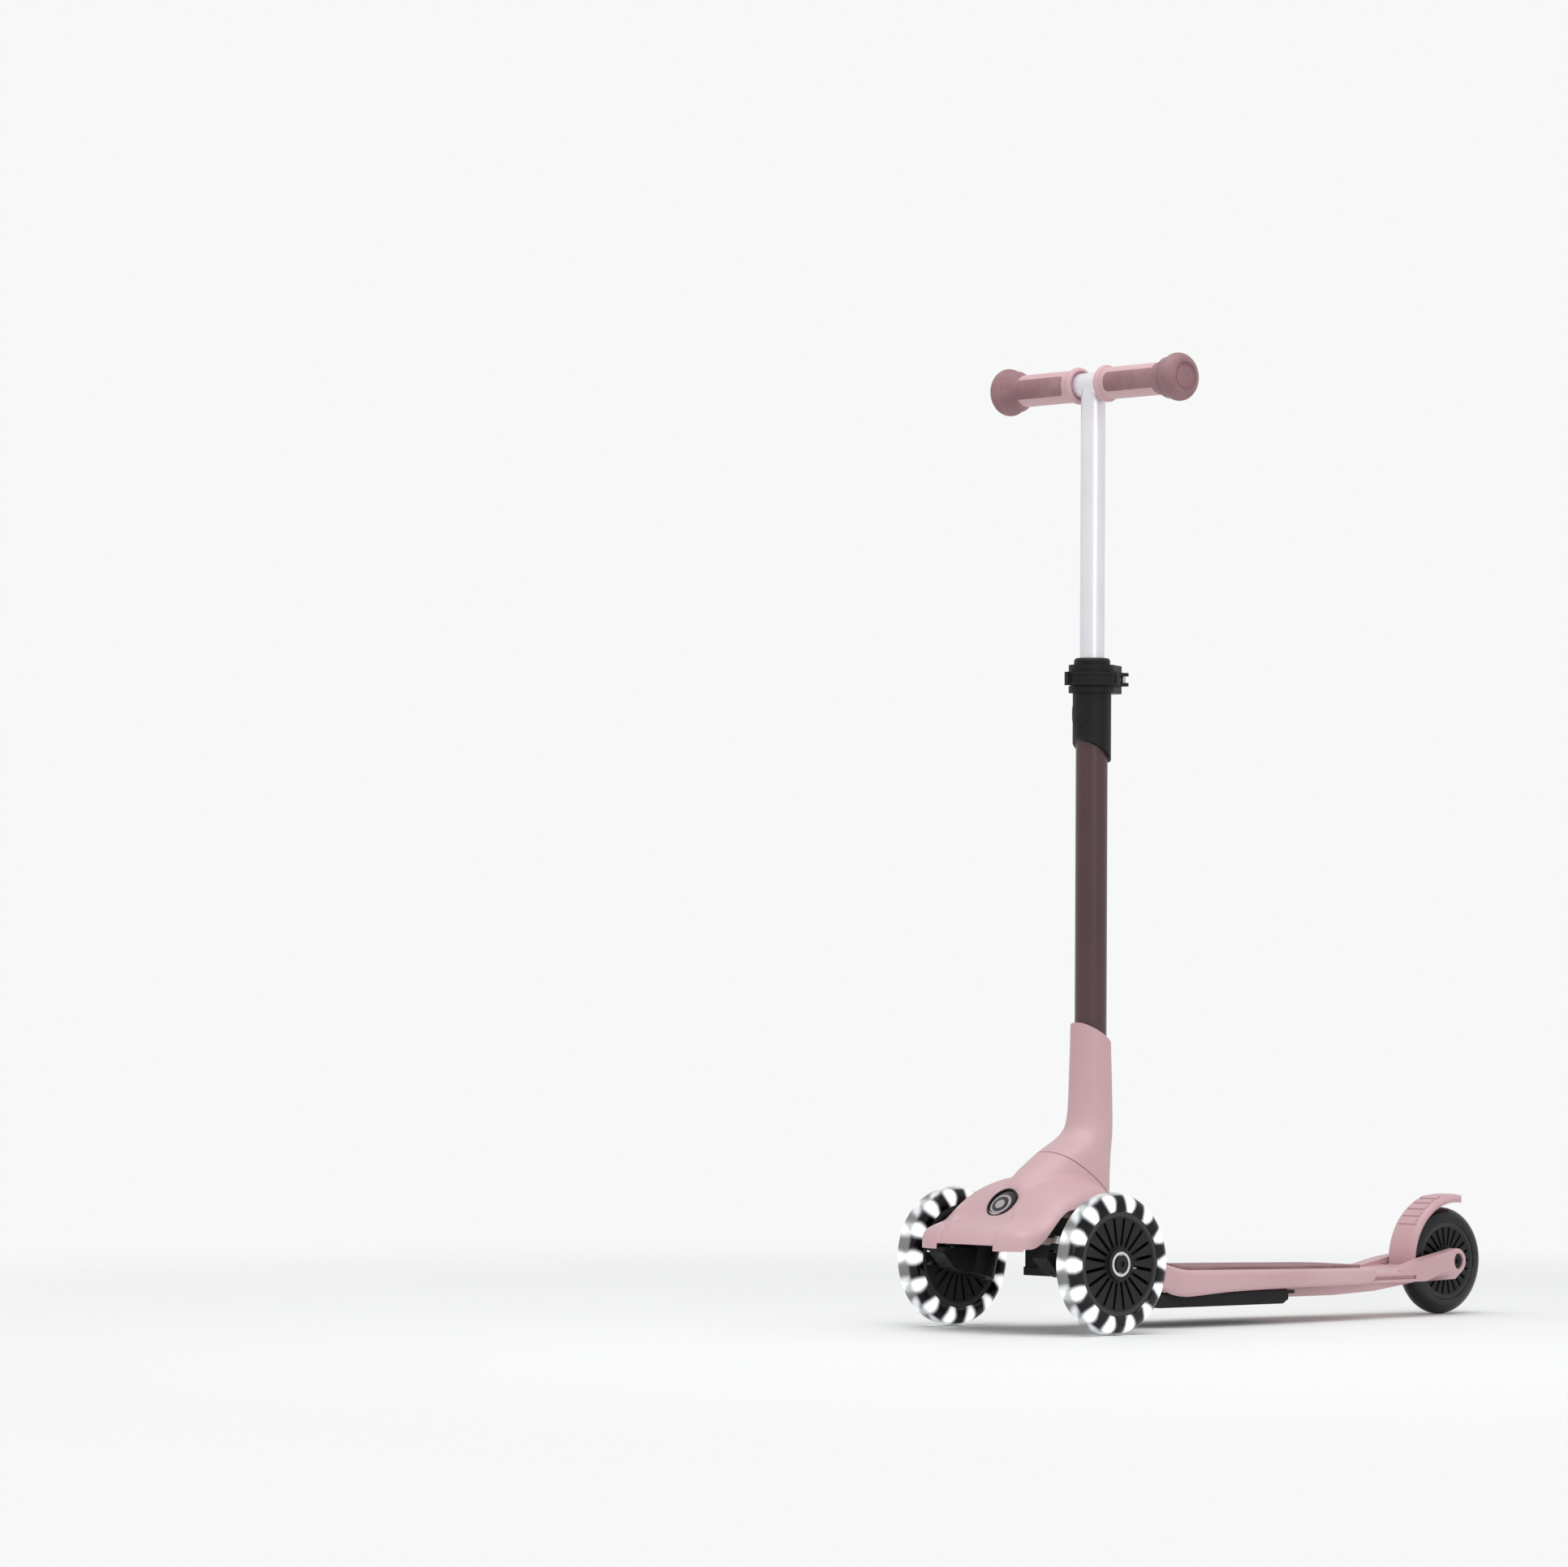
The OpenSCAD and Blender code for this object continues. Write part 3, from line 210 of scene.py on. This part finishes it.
# Deck rubber: pebble, and long faint streaks from the mould.
def matRubber(name, look):
    made, shader, place = newFinish(name, Specular_IOR_Level=0.35)
    streak = place.noise(place.stretch(place, (260, 14, 60)), 1.6, 4.0, 0.6)
    pebble = place.noise(place, 1500, 2.0)
    wire(place, shader, Base_Color=place.blend(streak.band(0.3, 0.75), look["colour"], look["bloom"]),
         Roughness=0.55 + streak * 0.15, Normal=place.bump(pebble + streak * 0.8, 0.3, 0.00015))
    return made


# Black nylon: a fine grain and cloudy wear. A hub's rim is smoother and paler than the rest of it.
nylonLook = {"colour": (0.008, 0.008, 0.0095, 1), "worn": (0.017, 0.017, 0.019, 1),
             "rim": (0.042, 0.042, 0.045, 1), "rough": 0.42}


def hubNylon(name, look, centre, rimFrom):
    made, shader, place = newFinish(name, Specular_IOR_Level=0.3)
    x, y, z = axes(place)
    across, up = y - centre.y, z - centre.z
    rim = place.maths("SQRT", across * across + up * up).band(mm(rimFrom - 0.5), mm(rimFrom))
    cloud = place.noise(place, 22, 4.0, 0.6)
    grain = place.noise(place, 1700, 2.0)
    web = place.blend(cloud.band(0.45, 0.8), look["colour"], look["worn"])
    wire(place, shader, Base_Color=place.blend(rim, web, look["rim"]),
         Roughness=look["rough"] + cloud * 0.12 - rim * 0.1, Normal=place.bump(grain, 0.14, 0.0001))
    return made


def blackNylon(name, look):
    made, shader, place = newFinish(name, Specular_IOR_Level=0.28)
    cloud = place.noise(place, 22, 4.0, 0.6)
    grain = place.noise(place, 1900, 2.0)
    wire(place, shader, Base_Color=place.blend(cloud.band(0.45, 0.8), look["colour"], look["worn"]),
         Roughness=look["rough"] + cloud * 0.14, Normal=place.bump(grain, 0.16, 0.0001))
    return made


# Metal, bare or painted, with fine lines left by the tool.
def turnedMetal(name, colour, rough, grainSize, metal=1.0, coat=0.0, strength=0.12):
    made, shader, place = newFinish(name, Metallic=metal, Coat_Roughness=0.2)
    lines = place.noise(place.stretch(place, grainSize), 2.0, 3.0, 0.6)
    cloud = place.noise(place, 14, 3.0)
    pale = tuple(min(1, c * 1.1) for c in colour[:3]) + (1,)
    wire(place, shader, Base_Color=place.blend(cloud.band(0.3, 0.7), colour, pale),
         Roughness=rough + lines * 0.1 + cloud * 0.05, Coat_Weight=coat,
         Normal=place.bump(lines, strength, 0.00006))
    return made


# Cast clear tyre: smoky between the lamps, fine spokes of haze, and painted lamp light: a pale glow where
# a lamp shines through, paler haze near the lamps and a pale painted highlight on the tread.
# Radii, depths below the tread and distances from the wheel's middle are in millimetres.
tyreLook = {"smoke": (0.002, 0.002, 0.004, 1), "haze": (0.12, 0.12, 0.14, 1), "paintedLampWhite": (1, 1, 1, 1),
            "glow": (0.85, 0.88, 0.92, 1), "lamps": 14, "lampEdge": 1.25, "inner": 47, "outer": 62.5,
            "brightest": 55.5, "falloff": 0.0042, "face": (6.5, 11), "tread": (3.2, 0.6), "clear": 0.55}


def clearTyre(name, look, centre):
    made, shader, place = newFinish(name, Coat_Roughness=0.03, IOR=1.4, Specular_IOR_Level=0.3,
                                    Emission_Strength=1.0)
    x, y, z = axes(place)
    across, up = y - centre.y, z - centre.z
    angle = place.maths("ARCTAN2", up, across)
    radius = place.maths("SQRT", across * across + up * up)
    lamp = (angle.wave(look["lamps"]) * 0.5 + 0.5) ** look["lampEdge"]
    spoke = place.take(place.node("ShaderNodeCombineXYZ", X=angle * 60, Y=radius * 60, Z=x * 40))
    haze = place.noise(spoke, 1.0, 3.0, 0.55)
    drift = place.take(place.node("ShaderNodeCombineXYZ", X=angle * 3, Y=radius * 90, Z=x * 60))
    slow = place.noise(drift, 1.0, 2.0)
    inward = radius.band(mm(look["outer"]), mm(look["inner"]))
    off = place.maths("ABSOLUTE", x - centre.x) * 1000
    # Painted lamp light: brightest at each lamp and on a ring at the brightest radius, fading inward,
    # outward and away from the wheel's middle.
    shape = lamp - (radius * 1000 - look["brightest"]) ** 2 * look["falloff"] - inward * 0.08 - off * 0.01
    glow = (shape + (haze - 0.5) * 0.16 + (slow - 0.5) * 0.22).band(-0.05, 0.85)
    # The outermost band of the tread is painted pale, a painted highlight of light through the clear tyre;
    # away from the faces it is also partly see-through.
    rim = radius.band(*(mm(look["outer"] - depth) for depth in look["tread"]))
    edge = off.band(*look["face"])
    lit = place.maths("MAXIMUM", glow, rim * 0.55)
    # Smoky haze with streaks, painted paler near the lamps as painted lamp light spreading through it.
    hazeAndPaintedLampLight = place.blend((haze * 0.5 + lamp * 0.4).band(0.3, 0.8) * 0.7, look["smoke"], look["haze"])
    # Base colour: painted lamp light and the tread's painted highlight over the haze. Emission: painted
    # lamp glow, stronger on the side faces.
    wire(place, shader, Base_Color=place.blend(lit, hazeAndPaintedLampLight, look["paintedLampWhite"]), Roughness=0.06 + haze * 0.05,
         Coat_Weight=0.2, Alpha=1 - rim * (1 - edge) * look["clear"],
         Emission_Color=place.blend(glow * (0.55 + edge * 0.45), (0, 0, 0, 1), look["glow"]))
    return made


solidTyreLook = {"colour": (0.004, 0.004, 0.005, 1), "bloom": (0.011, 0.011, 0.012, 1)}


def solidTyre(name, look):
    made, shader, place = newFinish(name, Specular_IOR_Level=0.4)
    cloud = place.noise(place, 25, 4.0, 0.6)
    grain = place.noise(place, 1300, 2.0)
    wire(place, shader, Base_Color=place.blend(cloud.band(0.4, 0.8), look["colour"], look["bloom"]),
         Roughness=0.24 + cloud * 0.14, Coat_Weight=0.15, Normal=place.bump(grain, 0.06, 0.0001))
    return made


def litLamp(name):
    made, shader, place = newFinish(name, Emission_Strength=2.0)
    cloud = place.noise(place, 400, 2.0)
    wire(place, shader, Base_Color=place.blend(cloud, (0.9, 0.9, 0.92, 1), (1, 1, 1, 1)),
         Roughness=0.2 + cloud * 0.1,
         Emission_Color=place.blend(cloud, (0.85, 0.9, 1, 1), (1, 1, 1, 1)))
    return made


# A dark oval dial with a chrome ring and a chrome middle; sizes in millimetres.
dialLook = {"chrome": (0.62, 0.58, 0.6, 1), "dark": (0.07, 0.06, 0.065, 1), "oval": 2.2, "ring": 10.6,
            "ringEdge": (0.9, 1.4), "middle": (5, 5.6)}


def dialChrome(name, look, centre):
    made, shader, place = newFinish(name, Metallic=1.0, Coat_Roughness=0.03)
    x, y, z = axes(place)
    across, up = x - centre.x, z - centre.z
    radius = place.maths("SQRT", across * across + up * up * look["oval"])
    offRing = place.maths("ABSOLUTE", radius - mm(look["ring"])).band(*map(mm, look["ringEdge"]))
    dark = place.maths("MINIMUM", offRing, radius.band(*map(mm, look["middle"])))
    mist = place.noise(place, 180, 3.0)
    wire(place, shader, Base_Color=place.blend(dark, look["chrome"], look["dark"]),
         Roughness=0.12 + mist * 0.12, Coat_Weight=0.4, Normal=place.bump(dark + mist * 0.1, 0.35, 0.0003))
    return made


finishes = {
    "pink_shell": shellPlastic("pinkShell", shellLook),
    "pink_grip": shellPlastic("pinkGrip", dict(shellLook, rough=0.42, grain=1900)),
    "mauve_rubber": softRubber("mauveRubber", rubberLook),
    "black_plastic": blackNylon("blackNylon", nylonLook),
    "lever_plastic": blackNylon("leverNylon", dict(nylonLook, rough=0.5)),
    "plum_tube": turnedMetal("plumTube", (0.078, 0.036, 0.041, 1), 0.3, (900, 900, 20), 0.25, 0.3, 0.06),
    "bright_tube": turnedMetal("brightTube", (0.9, 0.88, 0.95, 1), 0.26, (900, 900, 12), 0.62),
    "badge_face": dialChrome("badgeChrome", dialLook, middle("badge")),
    "screw_steel": turnedMetal("platedSteel", (0.58, 0.57, 0.56, 1), 0.28, (400, 400, 400)),
    "black_bolt": turnedMetal("blackOxide", (0.025, 0.025, 0.027, 1), 0.3, (500, 500, 500), 0.7),
    "bearing_steel": turnedMetal("bearingSteel", (0.78, 0.78, 0.8, 1), 0.12, (700, 700, 700)),
    "spring_steel": turnedMetal("springWire", (0.5, 0.5, 0.52, 1), 0.25, (600, 600, 600)),
    "lamp": litLamp("lampWhite"),
    "black_tyre": solidTyre("blackTyre", solidTyreLook),
}
tyreFinish = {side: clearTyre("clearTyre" + side.title(), tyreLook, centre)
              for side, centre in frontWheel.items()}
matFinish = matRubber("deckRubber", rubberLook)
hubFinish = {"hub_left": hubNylon("hubNylonLeft", nylonLook, frontWheel["left"], 41.6),
             "hub_right": hubNylon("hubNylonRight", nylonLook, frontWheel["right"], 41.6),
             "rear_hub": hubNylon("hubNylonRear", nylonLook, rearWheel, 32)}
print("finishes made,", len([*finishes, *tyreFinish, *hubFinish, matFinish]))


def paint(piece, finish):
    piece.data.materials.clear()
    piece.data.materials.append(finish)


def finishOf(node):
    slot = slotOf[node]
    if slot == "clear_tyre":
        return tyreFinish[node.split("_")[-1]]
    if slot == "hub_plastic":
        return hubFinish[node]
    return matFinish if node == "deck_mat" else finishes[slot]


def softenEdges(shape, degrees):
    for face in shape.faces:
        face.smooth = True
    limit = math.radians(degrees)
    for edge in shape.edges:
        edge.smooth = edge.is_manifold and edge.calc_face_angle(0) < limit


def newPiece(name, shape, node, *more):
    mesh = bpy.data.meshes.new(name)
    shape.to_mesh(mesh)
    shape.free()
    piece = bpy.data.objects.new(name, mesh)
    bpy.context.scene.collection.objects.link(piece)
    paint(piece, finishOf(node))
    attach(piece, bodyOf[node])
    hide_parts(node, *more)
    return piece


# A merged copy of a node, with its sharp edges broken by a small bevel.
def dressed(node, width, degrees=32, segments=2):
    shape = bmesh.new()
    shape.from_mesh(nodes[node].data)
    bmesh.ops.remove_doubles(shape, verts=shape.verts, dist=2e-6)
    bmesh.ops.dissolve_limit(shape, angle_limit=math.radians(0.4), verts=shape.verts, edges=shape.edges)
    softenEdges(shape, degrees)
    piece = newPiece(node + "_finished", shape, node)
    if width:
        bevel = piece.modifiers.new("Bevel", "BEVEL")
        bevel.width = mm(width)
        bevel.segments = segments
        bevel.limit_method = "ANGLE"
        bevel.angle_limit = math.radians(degrees + 3)
        bevel.harden_normals = True
        bevel.miter_outer = "MITER_ARC"
    return piece


# The head and the column's foot: loops of the moulded form, joined, fused and eased, then cut along
# the seam. A row of the head is its place along the scooter, half width, top and side edge. A row of
# the foot is its height, reach forward, half width, reach back and how far forward its widest place is.
headLook = {
    "rows": [(-82, 40, 79, 75), (-80.5, 47, 83.5, 78), (-76.5, 58, 90, 81), (-70, 66, 95, 82),
             (-58, 69, 99, 82), (-46, 70, 103.5, 84), (-34, 70.5, 114, 90), (-20, 70.5, 125, 97),
             (-5, 70.5, 131.5, 102), (12, 70, 136, 104), (28, 69, 136, 101), (44, 64, 129, 94),
             (60, 55, 115, 84), (76, 46, 98, 74), (92, 41, 82, 64), (104, 39, 72, 57)],
    "footRows": [(330, 18.3, 18.3, 18.3, 0), (270, 18.3, 18.3, 18.3, 0), (230, 19.2, 19.2, 19.2, 0),
                 (200, 20.4, 20, 19.8, 0), (188, 21.6, 20.4, 20.2, 1), (178, 24.4, 21.2, 20.4, 4),
                 (169, 34, 22.9, 20.4, 11), (159, 53, 25.5, 19.6, 24), (149, 70, 28, 18, 28),
                 (138, 86, 31, 16, 31), (126, 97, 34, 14, 33), (110, 103, 37, 13, 35),
                 (90, 105, 38, 13, 36)],
    "rowSteps": 5, "footSteps": 4, "underside": 40, "sideFullness": 0.6, "topFullness": 0.72,
    "voxel": 1.5, "ease": 18, "wall": 2.8, "columnWall": 3.4, "setback": 72.5, "seamPoint": (17, 158),
    "seamSlope": 0.74, "seamGap": 1.2, "rimSlope": 0.6, "rimHeight": 262, "backEnd": 103, "lowEdge": 54,
    "coverRim": 0.5, "columnRim": 0.9, "buttonHole": 6.9,
}
panelLook = {"step": 2.4, "halfWidth": 37, "narrowsAbove": 93, "narrowing": 1.1, "crease": 1.2,
             "backFrom": -32, "backBlend": 34, "backward": 0.8, "down": 0.6}
archLook = {"front": 75, "top": 109, "back": 54, "rise": (-66, 52), "turnsAt": 25, "fall": (42, 44)}


def along(table, place, column):
    index = min(len(table) - 2, int(place))
    t = place - index
    p0, p1 = table[max(0, index - 1)][column], table[index][column]
    p2, p3 = table[index + 1][column], table[min(len(table) - 1, index + 2)][column]
    return p1 + 0.5 * t * (p2 - p0 + t * (2 * p0 - 5 * p1 + 4 * p2 - p3 + t * (3 * (p1 - p2) + p3 - p0)))


def easeStep(value):
    value = min(1, max(0, value))
    return value * value * (3 - 2 * value)


# Circles, each pulled onto its own outline, bridged one to the next and capped.
def lofted(outlines):
    shape = bmesh.new()
    for outline in outlines:
        ring = bmesh.ops.create_circle(shape, cap_ends=False, segments=len(outline), radius=1)["verts"]
        for vertex, spot in zip(ring, outline):
            vertex.co = Vector((mm(spot[0]), frontY + mm(spot[1]), mm(spot[2])))
    bmesh.ops.bridge_loops(shape, edges=shape.edges)
    bmesh.ops.holes_fill(shape, edges=shape.edges, sides=0)
    bmesh.ops.recalc_face_normals(shape, faces=shape.faces)
    return shape


def headOutline(look, place, sides=40):
    y, half, top, edge = (along(look["rows"], place, c) for c in range(4))
    edge = min(top - 4, edge)
    outline = [(half, y, look["underside"])]
    for step in range(2 * sides + 1):
        turn = math.radians(step * 90 / sides)
        reach = abs(math.cos(turn)) ** look["sideFullness"] * math.copysign(1, math.cos(turn))
        height = max(0, math.sin(turn)) ** look["topFullness"]
        outline.append((half * reach, y, edge + (top - edge) * height))
    return outline + [(-half, y, look["underside"])]


def footOutline(look, place, sides=72):
    z, front, half, back, mid = (along(look["footRows"], place, c) for c in range(5))
    outline = []
    for step in range(sides):
        turn = 2 * math.pi * step / sides
        reach = (back + mid if math.sin(turn) > 0 else front - mid) * math.sin(turn)
        outline.append((half * math.cos(turn), look["setback"] - mid + reach, z))
    return outline


def evaluatedMesh(thing):
    ready = thing.evaluated_get(bpy.context.evaluated_depsgraph_get())
    return bpy.data.meshes.new_from_object(ready)


def fusedHead(look):
    steps, footSteps = look["rowSteps"], look["footSteps"]
    rings = (len(look["rows"]) - 1) * steps + 1
    footRings = (len(look["footRows"]) - 1) * footSteps + 1
    shape = lofted([headOutline(look, i / steps) for i in range(rings)])
    other = lofted([footOutline(look, i / footSteps) for i in range(footRings)])
    joined = bpy.data.meshes.new("fused")
    other.to_mesh(joined)
    other.free()
    shape.from_mesh(joined)
    shape.to_mesh(joined)
    shape.free()
    thing = bpy.data.objects.new("fused", joined)
    bpy.context.scene.collection.objects.link(thing)
    remesh = thing.modifiers.new("Remesh", "REMESH")
    remesh.mode = "VOXEL"
    remesh.voxel_size = mm(look["voxel"])
    fused = evaluatedMesh(thing)
    bpy.data.objects.remove(thing)
    shape = bmesh.new()
    shape.from_mesh(fused)
    for turn in range(look["ease"]):
        bmesh.ops.smooth_vert(shape, verts=shape.verts, factor=0.5, use_axis_x=True, use_axis_y=True,
                              use_axis_z=True)
    return shape


# The middle panel under the badge lies a step behind the wings.
def pressPanel(shape, look):
    for vertex in shape.verts:
        y = (vertex.co.y - frontY) * 1000
        z = vertex.co.z * 1000
        half = look["halfWidth"] - max(0, z - look["narrowsAbove"]) * look["narrowing"]
        inside = easeStep((half - abs(vertex.co.x) * 1000) / look["crease"])
        inside *= easeStep((look["backFrom"] - y) / look["backBlend"])
        if inside > 0:
            vertex.co.y += mm(look["step"]) * inside * look["backward"]
            vertex.co.z -= mm(look["step"]) * inside * look["down"]


def archHeight(look, y):
    if y < look["turnsAt"]:
        start, length = look["rise"]
        return look["front"] + (look["top"] - look["front"]) * easeStep((y - start) / length)
    start, length = look["fall"]
    return look["top"] + (look["back"] - look["top"]) * easeStep((y - start) / length)


# Takes away all below the cover's edge, which arches over the wheels, and a notch under the nose.
def archCutter(look):
    under = [(130, 10), (-100, 10), (-100, 73), (-71, 73)]
    under += [(y, archHeight(look, y)) for y in range(-71, 130, 2)] + [(130, look["back"])]
    opening = [(-61, 40), (-100, 40), (-100, 78), (-61, 78)]
    return sidewaysPrism([(under, 150), (opening, 36)])


def sidewaysPrism(outlines):
    shape = bmesh.new()
    for outline, reach in outlines:
        ring = bmesh.ops.create_circle(shape, cap_ends=True, segments=len(outline), radius=1)["verts"]
        for vertex, (y, z) in zip(ring, outline):
            vertex.co = Vector((mm(-reach), frontY + mm(y), mm(z)))
        face = next(iter(ring[0].link_faces))
        pushed = bmesh.ops.extrude_face_region(shape, geom=[face])["geom"]
        bmesh.ops.translate(shape, vec=(mm(2 * reach), 0, 0),
                            verts=[g for g in pushed if isinstance(g, bmesh.types.BMVert)])
    bmesh.ops.recalc_face_normals(shape, faces=shape.faces)
    return shape


# A round hole through the column's rear wall, where the release button sits.
def buttonCutter(look):
    low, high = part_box("release_button")
    spot = (low + high) / 2
    shape = bmesh.new()
    bmesh.ops.create_cone(shape, cap_ends=True, segments=48, radius1=mm(look["buttonHole"]),
                          radius2=mm(look["buttonHole"]), depth=mm(20))
    bmesh.ops.rotate(shape, verts=shape.verts, cent=(0, 0, 0),
                     matrix=Matrix.Rotation(math.radians(90), 3, "X"))
    bmesh.ops.translate(shape, verts=shape.verts, vec=spot)
    return shape


# What is left of a shape outside the cutter, without the walls the cut would leave.
def cutAway(shape, cutter):
    things = []
    for name, form in (("body", shape), ("cutter", cutter)):
        mesh = bpy.data.meshes.new(name)
        form.to_mesh(mesh)
        form.free()
        mesh.materials.append(bpy.data.materials.get(name) or bpy.data.materials.new(name))
        thing = bpy.data.objects.new(name, mesh)
        bpy.context.scene.collection.objects.link(thing)
        things.append(thing)
    cut = things[0].modifiers.new("Boolean", "BOOLEAN")
    cut.operation = "DIFFERENCE"
    cut.solver = "EXACT"
    cut.use_self = True
    cut.object = things[1]
    cut.material_mode = "TRANSFER"
    mesh = evaluatedMesh(things[0])
    left = bmesh.new()
    left.from_mesh(mesh)
    own = [i for i, material in enumerate(mesh.materials) if material.name == "body"]
    bmesh.ops.delete(left, geom=[f for f in left.faces if f.material_index not in own], context="FACES")
    for face in left.faces:
        face.material_index = 0
    for thing in things:
        bpy.data.objects.remove(thing)
    return left


def sliceOff(shape, spot, normal):
    bmesh.ops.bisect_plane(shape, geom=shape.verts[:] + shape.edges[:] + shape.faces[:], dist=1e-6,
                           plane_co=spot, plane_no=normal, clear_outer=True)


def shellFrom(shape, name, node, wall, rim):
    bmesh.ops.remove_doubles(shape, verts=shape.verts, dist=2e-5)
    for face in shape.faces:
        face.smooth = True
    piece = newPiece(name, shape, node)
    solid = piece.modifiers.new("Solidify", "SOLIDIFY")
    solid.thickness = mm(wall)
    solid.offset = -1
    bevel = piece.modifiers.new("Bevel", "BEVEL")
    bevel.width = mm(rim)
    bevel.segments = 2
    bevel.limit_method = "ANGLE"
    bevel.angle_limit = math.radians(50)
    bevel.harden_normals = True
    return piece


def headAndColumn(look):
    whole = fusedHead(look)
    pressPanel(whole, panelLook)
    upper = whole.copy()
    seamY, seamZ = look["seamPoint"]
    spot = Vector((0, frontY + mm(seamY), mm(seamZ)))
    upward = Vector((0, look["seamSlope"], 1)).normalized()
    cover = cutAway(whole, archCutter(archLook))
    sliceOff(cover, spot, upward)
    sliceOff(cover, Vector((0, frontY + mm(look["backEnd"]), 0)), Vector((0, 1, 0)))
    sliceOff(cover, Vector((0, 0, mm(look["lowEdge"]))), Vector((0, 0, -1)))
    shellFrom(cover, "head_cover_finished", "head_cover", look["wall"], look["coverRim"])
    upper = cutAway(upper, buttonCutter(look))
    sliceOff(upper, spot + Vector((0, 0, mm(look["seamGap"]))), -upward)
    rim = Vector((0, frontY + mm(look["setback"]), mm(look["rimHeight"])))
    sliceOff(upper, rim, Vector((0, look["rimSlope"], 1)).normalized())
    shellFrom(upper, "steering_column_finished", "steering_column", look["columnWall"],
              look["columnRim"])


headAndColumn(headLook)
print("head and column shaped")


# The width of each node's bevel in millimetres; the tyres have none.
edgeWidths = {
    "deck_shell": 0.6, "under_rail": 1.2, "rear_extension": 1.0, "brake_fender": 1.1, "deck_mat": 0.5,
    "hub_left": 0.5, "hub_right": 0.5, "rear_hub": 0.5, "bearings_left": 0.3, "bearings_right": 0.3,
    "rear_bearings": 0.3, "axle_bolt_left": 0.4, "axle_bolt_right": 0.4, "rear_axle_bolt": 0.4,
    "rear_axle_nut": 0.4, "knuckle_left": 1.2, "knuckle_right": 1.2, "chassis": 1.0, "kingpins": 0.5,
    "kingpin_nuts": 0.5, "tie_rod": 0.5, "clamp_collar": 0.7, "clamp_lever": 0.7, "clamp_bolt": 0.4,
    "badge_rim": 0.6, "outer_tube": 0.3, "inner_tube": 0.3, "cross_tube": 0.3, "grip_core_left": 0.5,
    "grip_core_right": 0.5, "grip_sleeve_left": 0.4, "grip_sleeve_right": 0.4, "grip_cap_left": 0.4,
    "grip_cap_right": 0.4, "release_button": 0.5, "rear_tyre": 0, "tyre_left": 0, "tyre_right": 0,
    "badge": 0.3, "lever_pin": 0.3, "fender_pin": 0.4, "deck_screws": 0.4, "chassis_screws": 0.4,
}
for node, width in edgeWidths.items():
    dressed(node, width)
print("nodes dressed,", len(edgeWidths))


# What no finished piece replaces is painted as it is.
for node, owner in nodes.items():
    if not owner.hide_render:
        paint(owner, finishOf(node))


# Studio: a pale floor that fades into the backdrop, soft lights, and the camera.
studioLook = {"floor": (0.93, 0.94, 0.935, 1), "backdrop": (0.93, 0.94, 0.935, 1),
              "fadeFrom": 0.5, "fadeTo": 2.0, "fill": 0.7}


def paleFloor(look):
    shape = bmesh.new()
    bmesh.ops.create_circle(shape, cap_ends=True, segments=64, radius=6.0)
    mesh = bpy.data.meshes.new("floor")
    shape.to_mesh(mesh)
    shape.free()
    floor = bpy.data.objects.new("floor", mesh)
    bpy.context.scene.collection.objects.link(floor)
    made, shader, place = newFinish("paleFloor", Roughness=0.7, Specular_IOR_Level=0.1)
    x, y, z = axes(place)
    away = place.maths("SQRT", x * x + y * y)
    wire(place, shader, Base_Color=look["floor"], Alpha=1 - away.band(look["fadeFrom"], look["fadeTo"]))
    mesh.materials.append(made)


def softLight(name, spot, aim, size, power):
    data = bpy.data.lights.new(name, "AREA")
    data.shape = "DISK"
    data.size = size
    data.energy = power
    light = bpy.data.objects.new(name, data)
    light.location = spot
    light.rotation_euler = (Vector(aim) - Vector(spot)).to_track_quat("-Z", "Y").to_euler()
    bpy.context.scene.collection.objects.link(light)


# The camera sees the backdrop at full strength; as a light it is dimmed to the fill.
def backdrop(look):
    world = bpy.data.worlds.new("backdrop")
    world.use_nodes = True
    back = next(n for n in world.node_tree.nodes if n.type == "BACKGROUND")
    back.inputs["Color"].default_value = look["backdrop"]
    path = world.node_tree.nodes.new("ShaderNodeLightPath")
    seen = Value(world.node_tree, path.outputs["Is Camera Ray"])
    wire(seen, back, Strength=look["fill"] + seen * (1 - look["fill"]))
    bpy.context.scene.world = world
    bpy.context.scene.view_settings.view_transform = "Standard"


cameraLook = {"turn": 48.5, "tilt": -1.86, "roll": 0.33, "away": 5.76, "aside": -0.2213, "above": 0.06365,
              "height": 0.42, "lens": 148.88, "sensor": 36}


def setCamera(look):
    turn, tilt, roll = (math.radians(look[key]) for key in ("turn", "tilt", "roll"))
    back = Vector((math.sin(turn) * math.cos(tilt), -math.cos(turn) * math.cos(tilt), math.sin(tilt)))
    right = Vector((math.cos(turn), math.sin(turn), 0))
    up = back.cross(right)
    data = bpy.data.cameras.new("camera")
    data.lens = look["lens"]
    data.sensor_width = look["sensor"]
    data.clip_start = 0.05
    data.clip_end = 200
    camera = bpy.data.objects.new("camera", data)
    bpy.context.scene.collection.objects.link(camera)
    spot = Vector((0, frontY, look["height"])) + back * look["away"]
    spot += right * look["aside"] + up * look["above"]
    turned = Matrix((right * math.cos(roll) + up * math.sin(roll),
                     up * math.cos(roll) - right * math.sin(roll), back)).transposed().to_4x4()
    camera.matrix_world = Matrix.Translation(spot) @ turned
    bpy.context.scene.camera = camera


paleFloor(studioLook)
backdrop(studioLook)
softLight("overhead", (0.4, -0.6, 2.6), (0, 0, 0.3), 2.6, 32)
softLight("sideFill", (3.0, -1.4, 1.4), (0, 0, 0.35), 1.8, 9)
setCamera(cameraLook)
print("studio set")
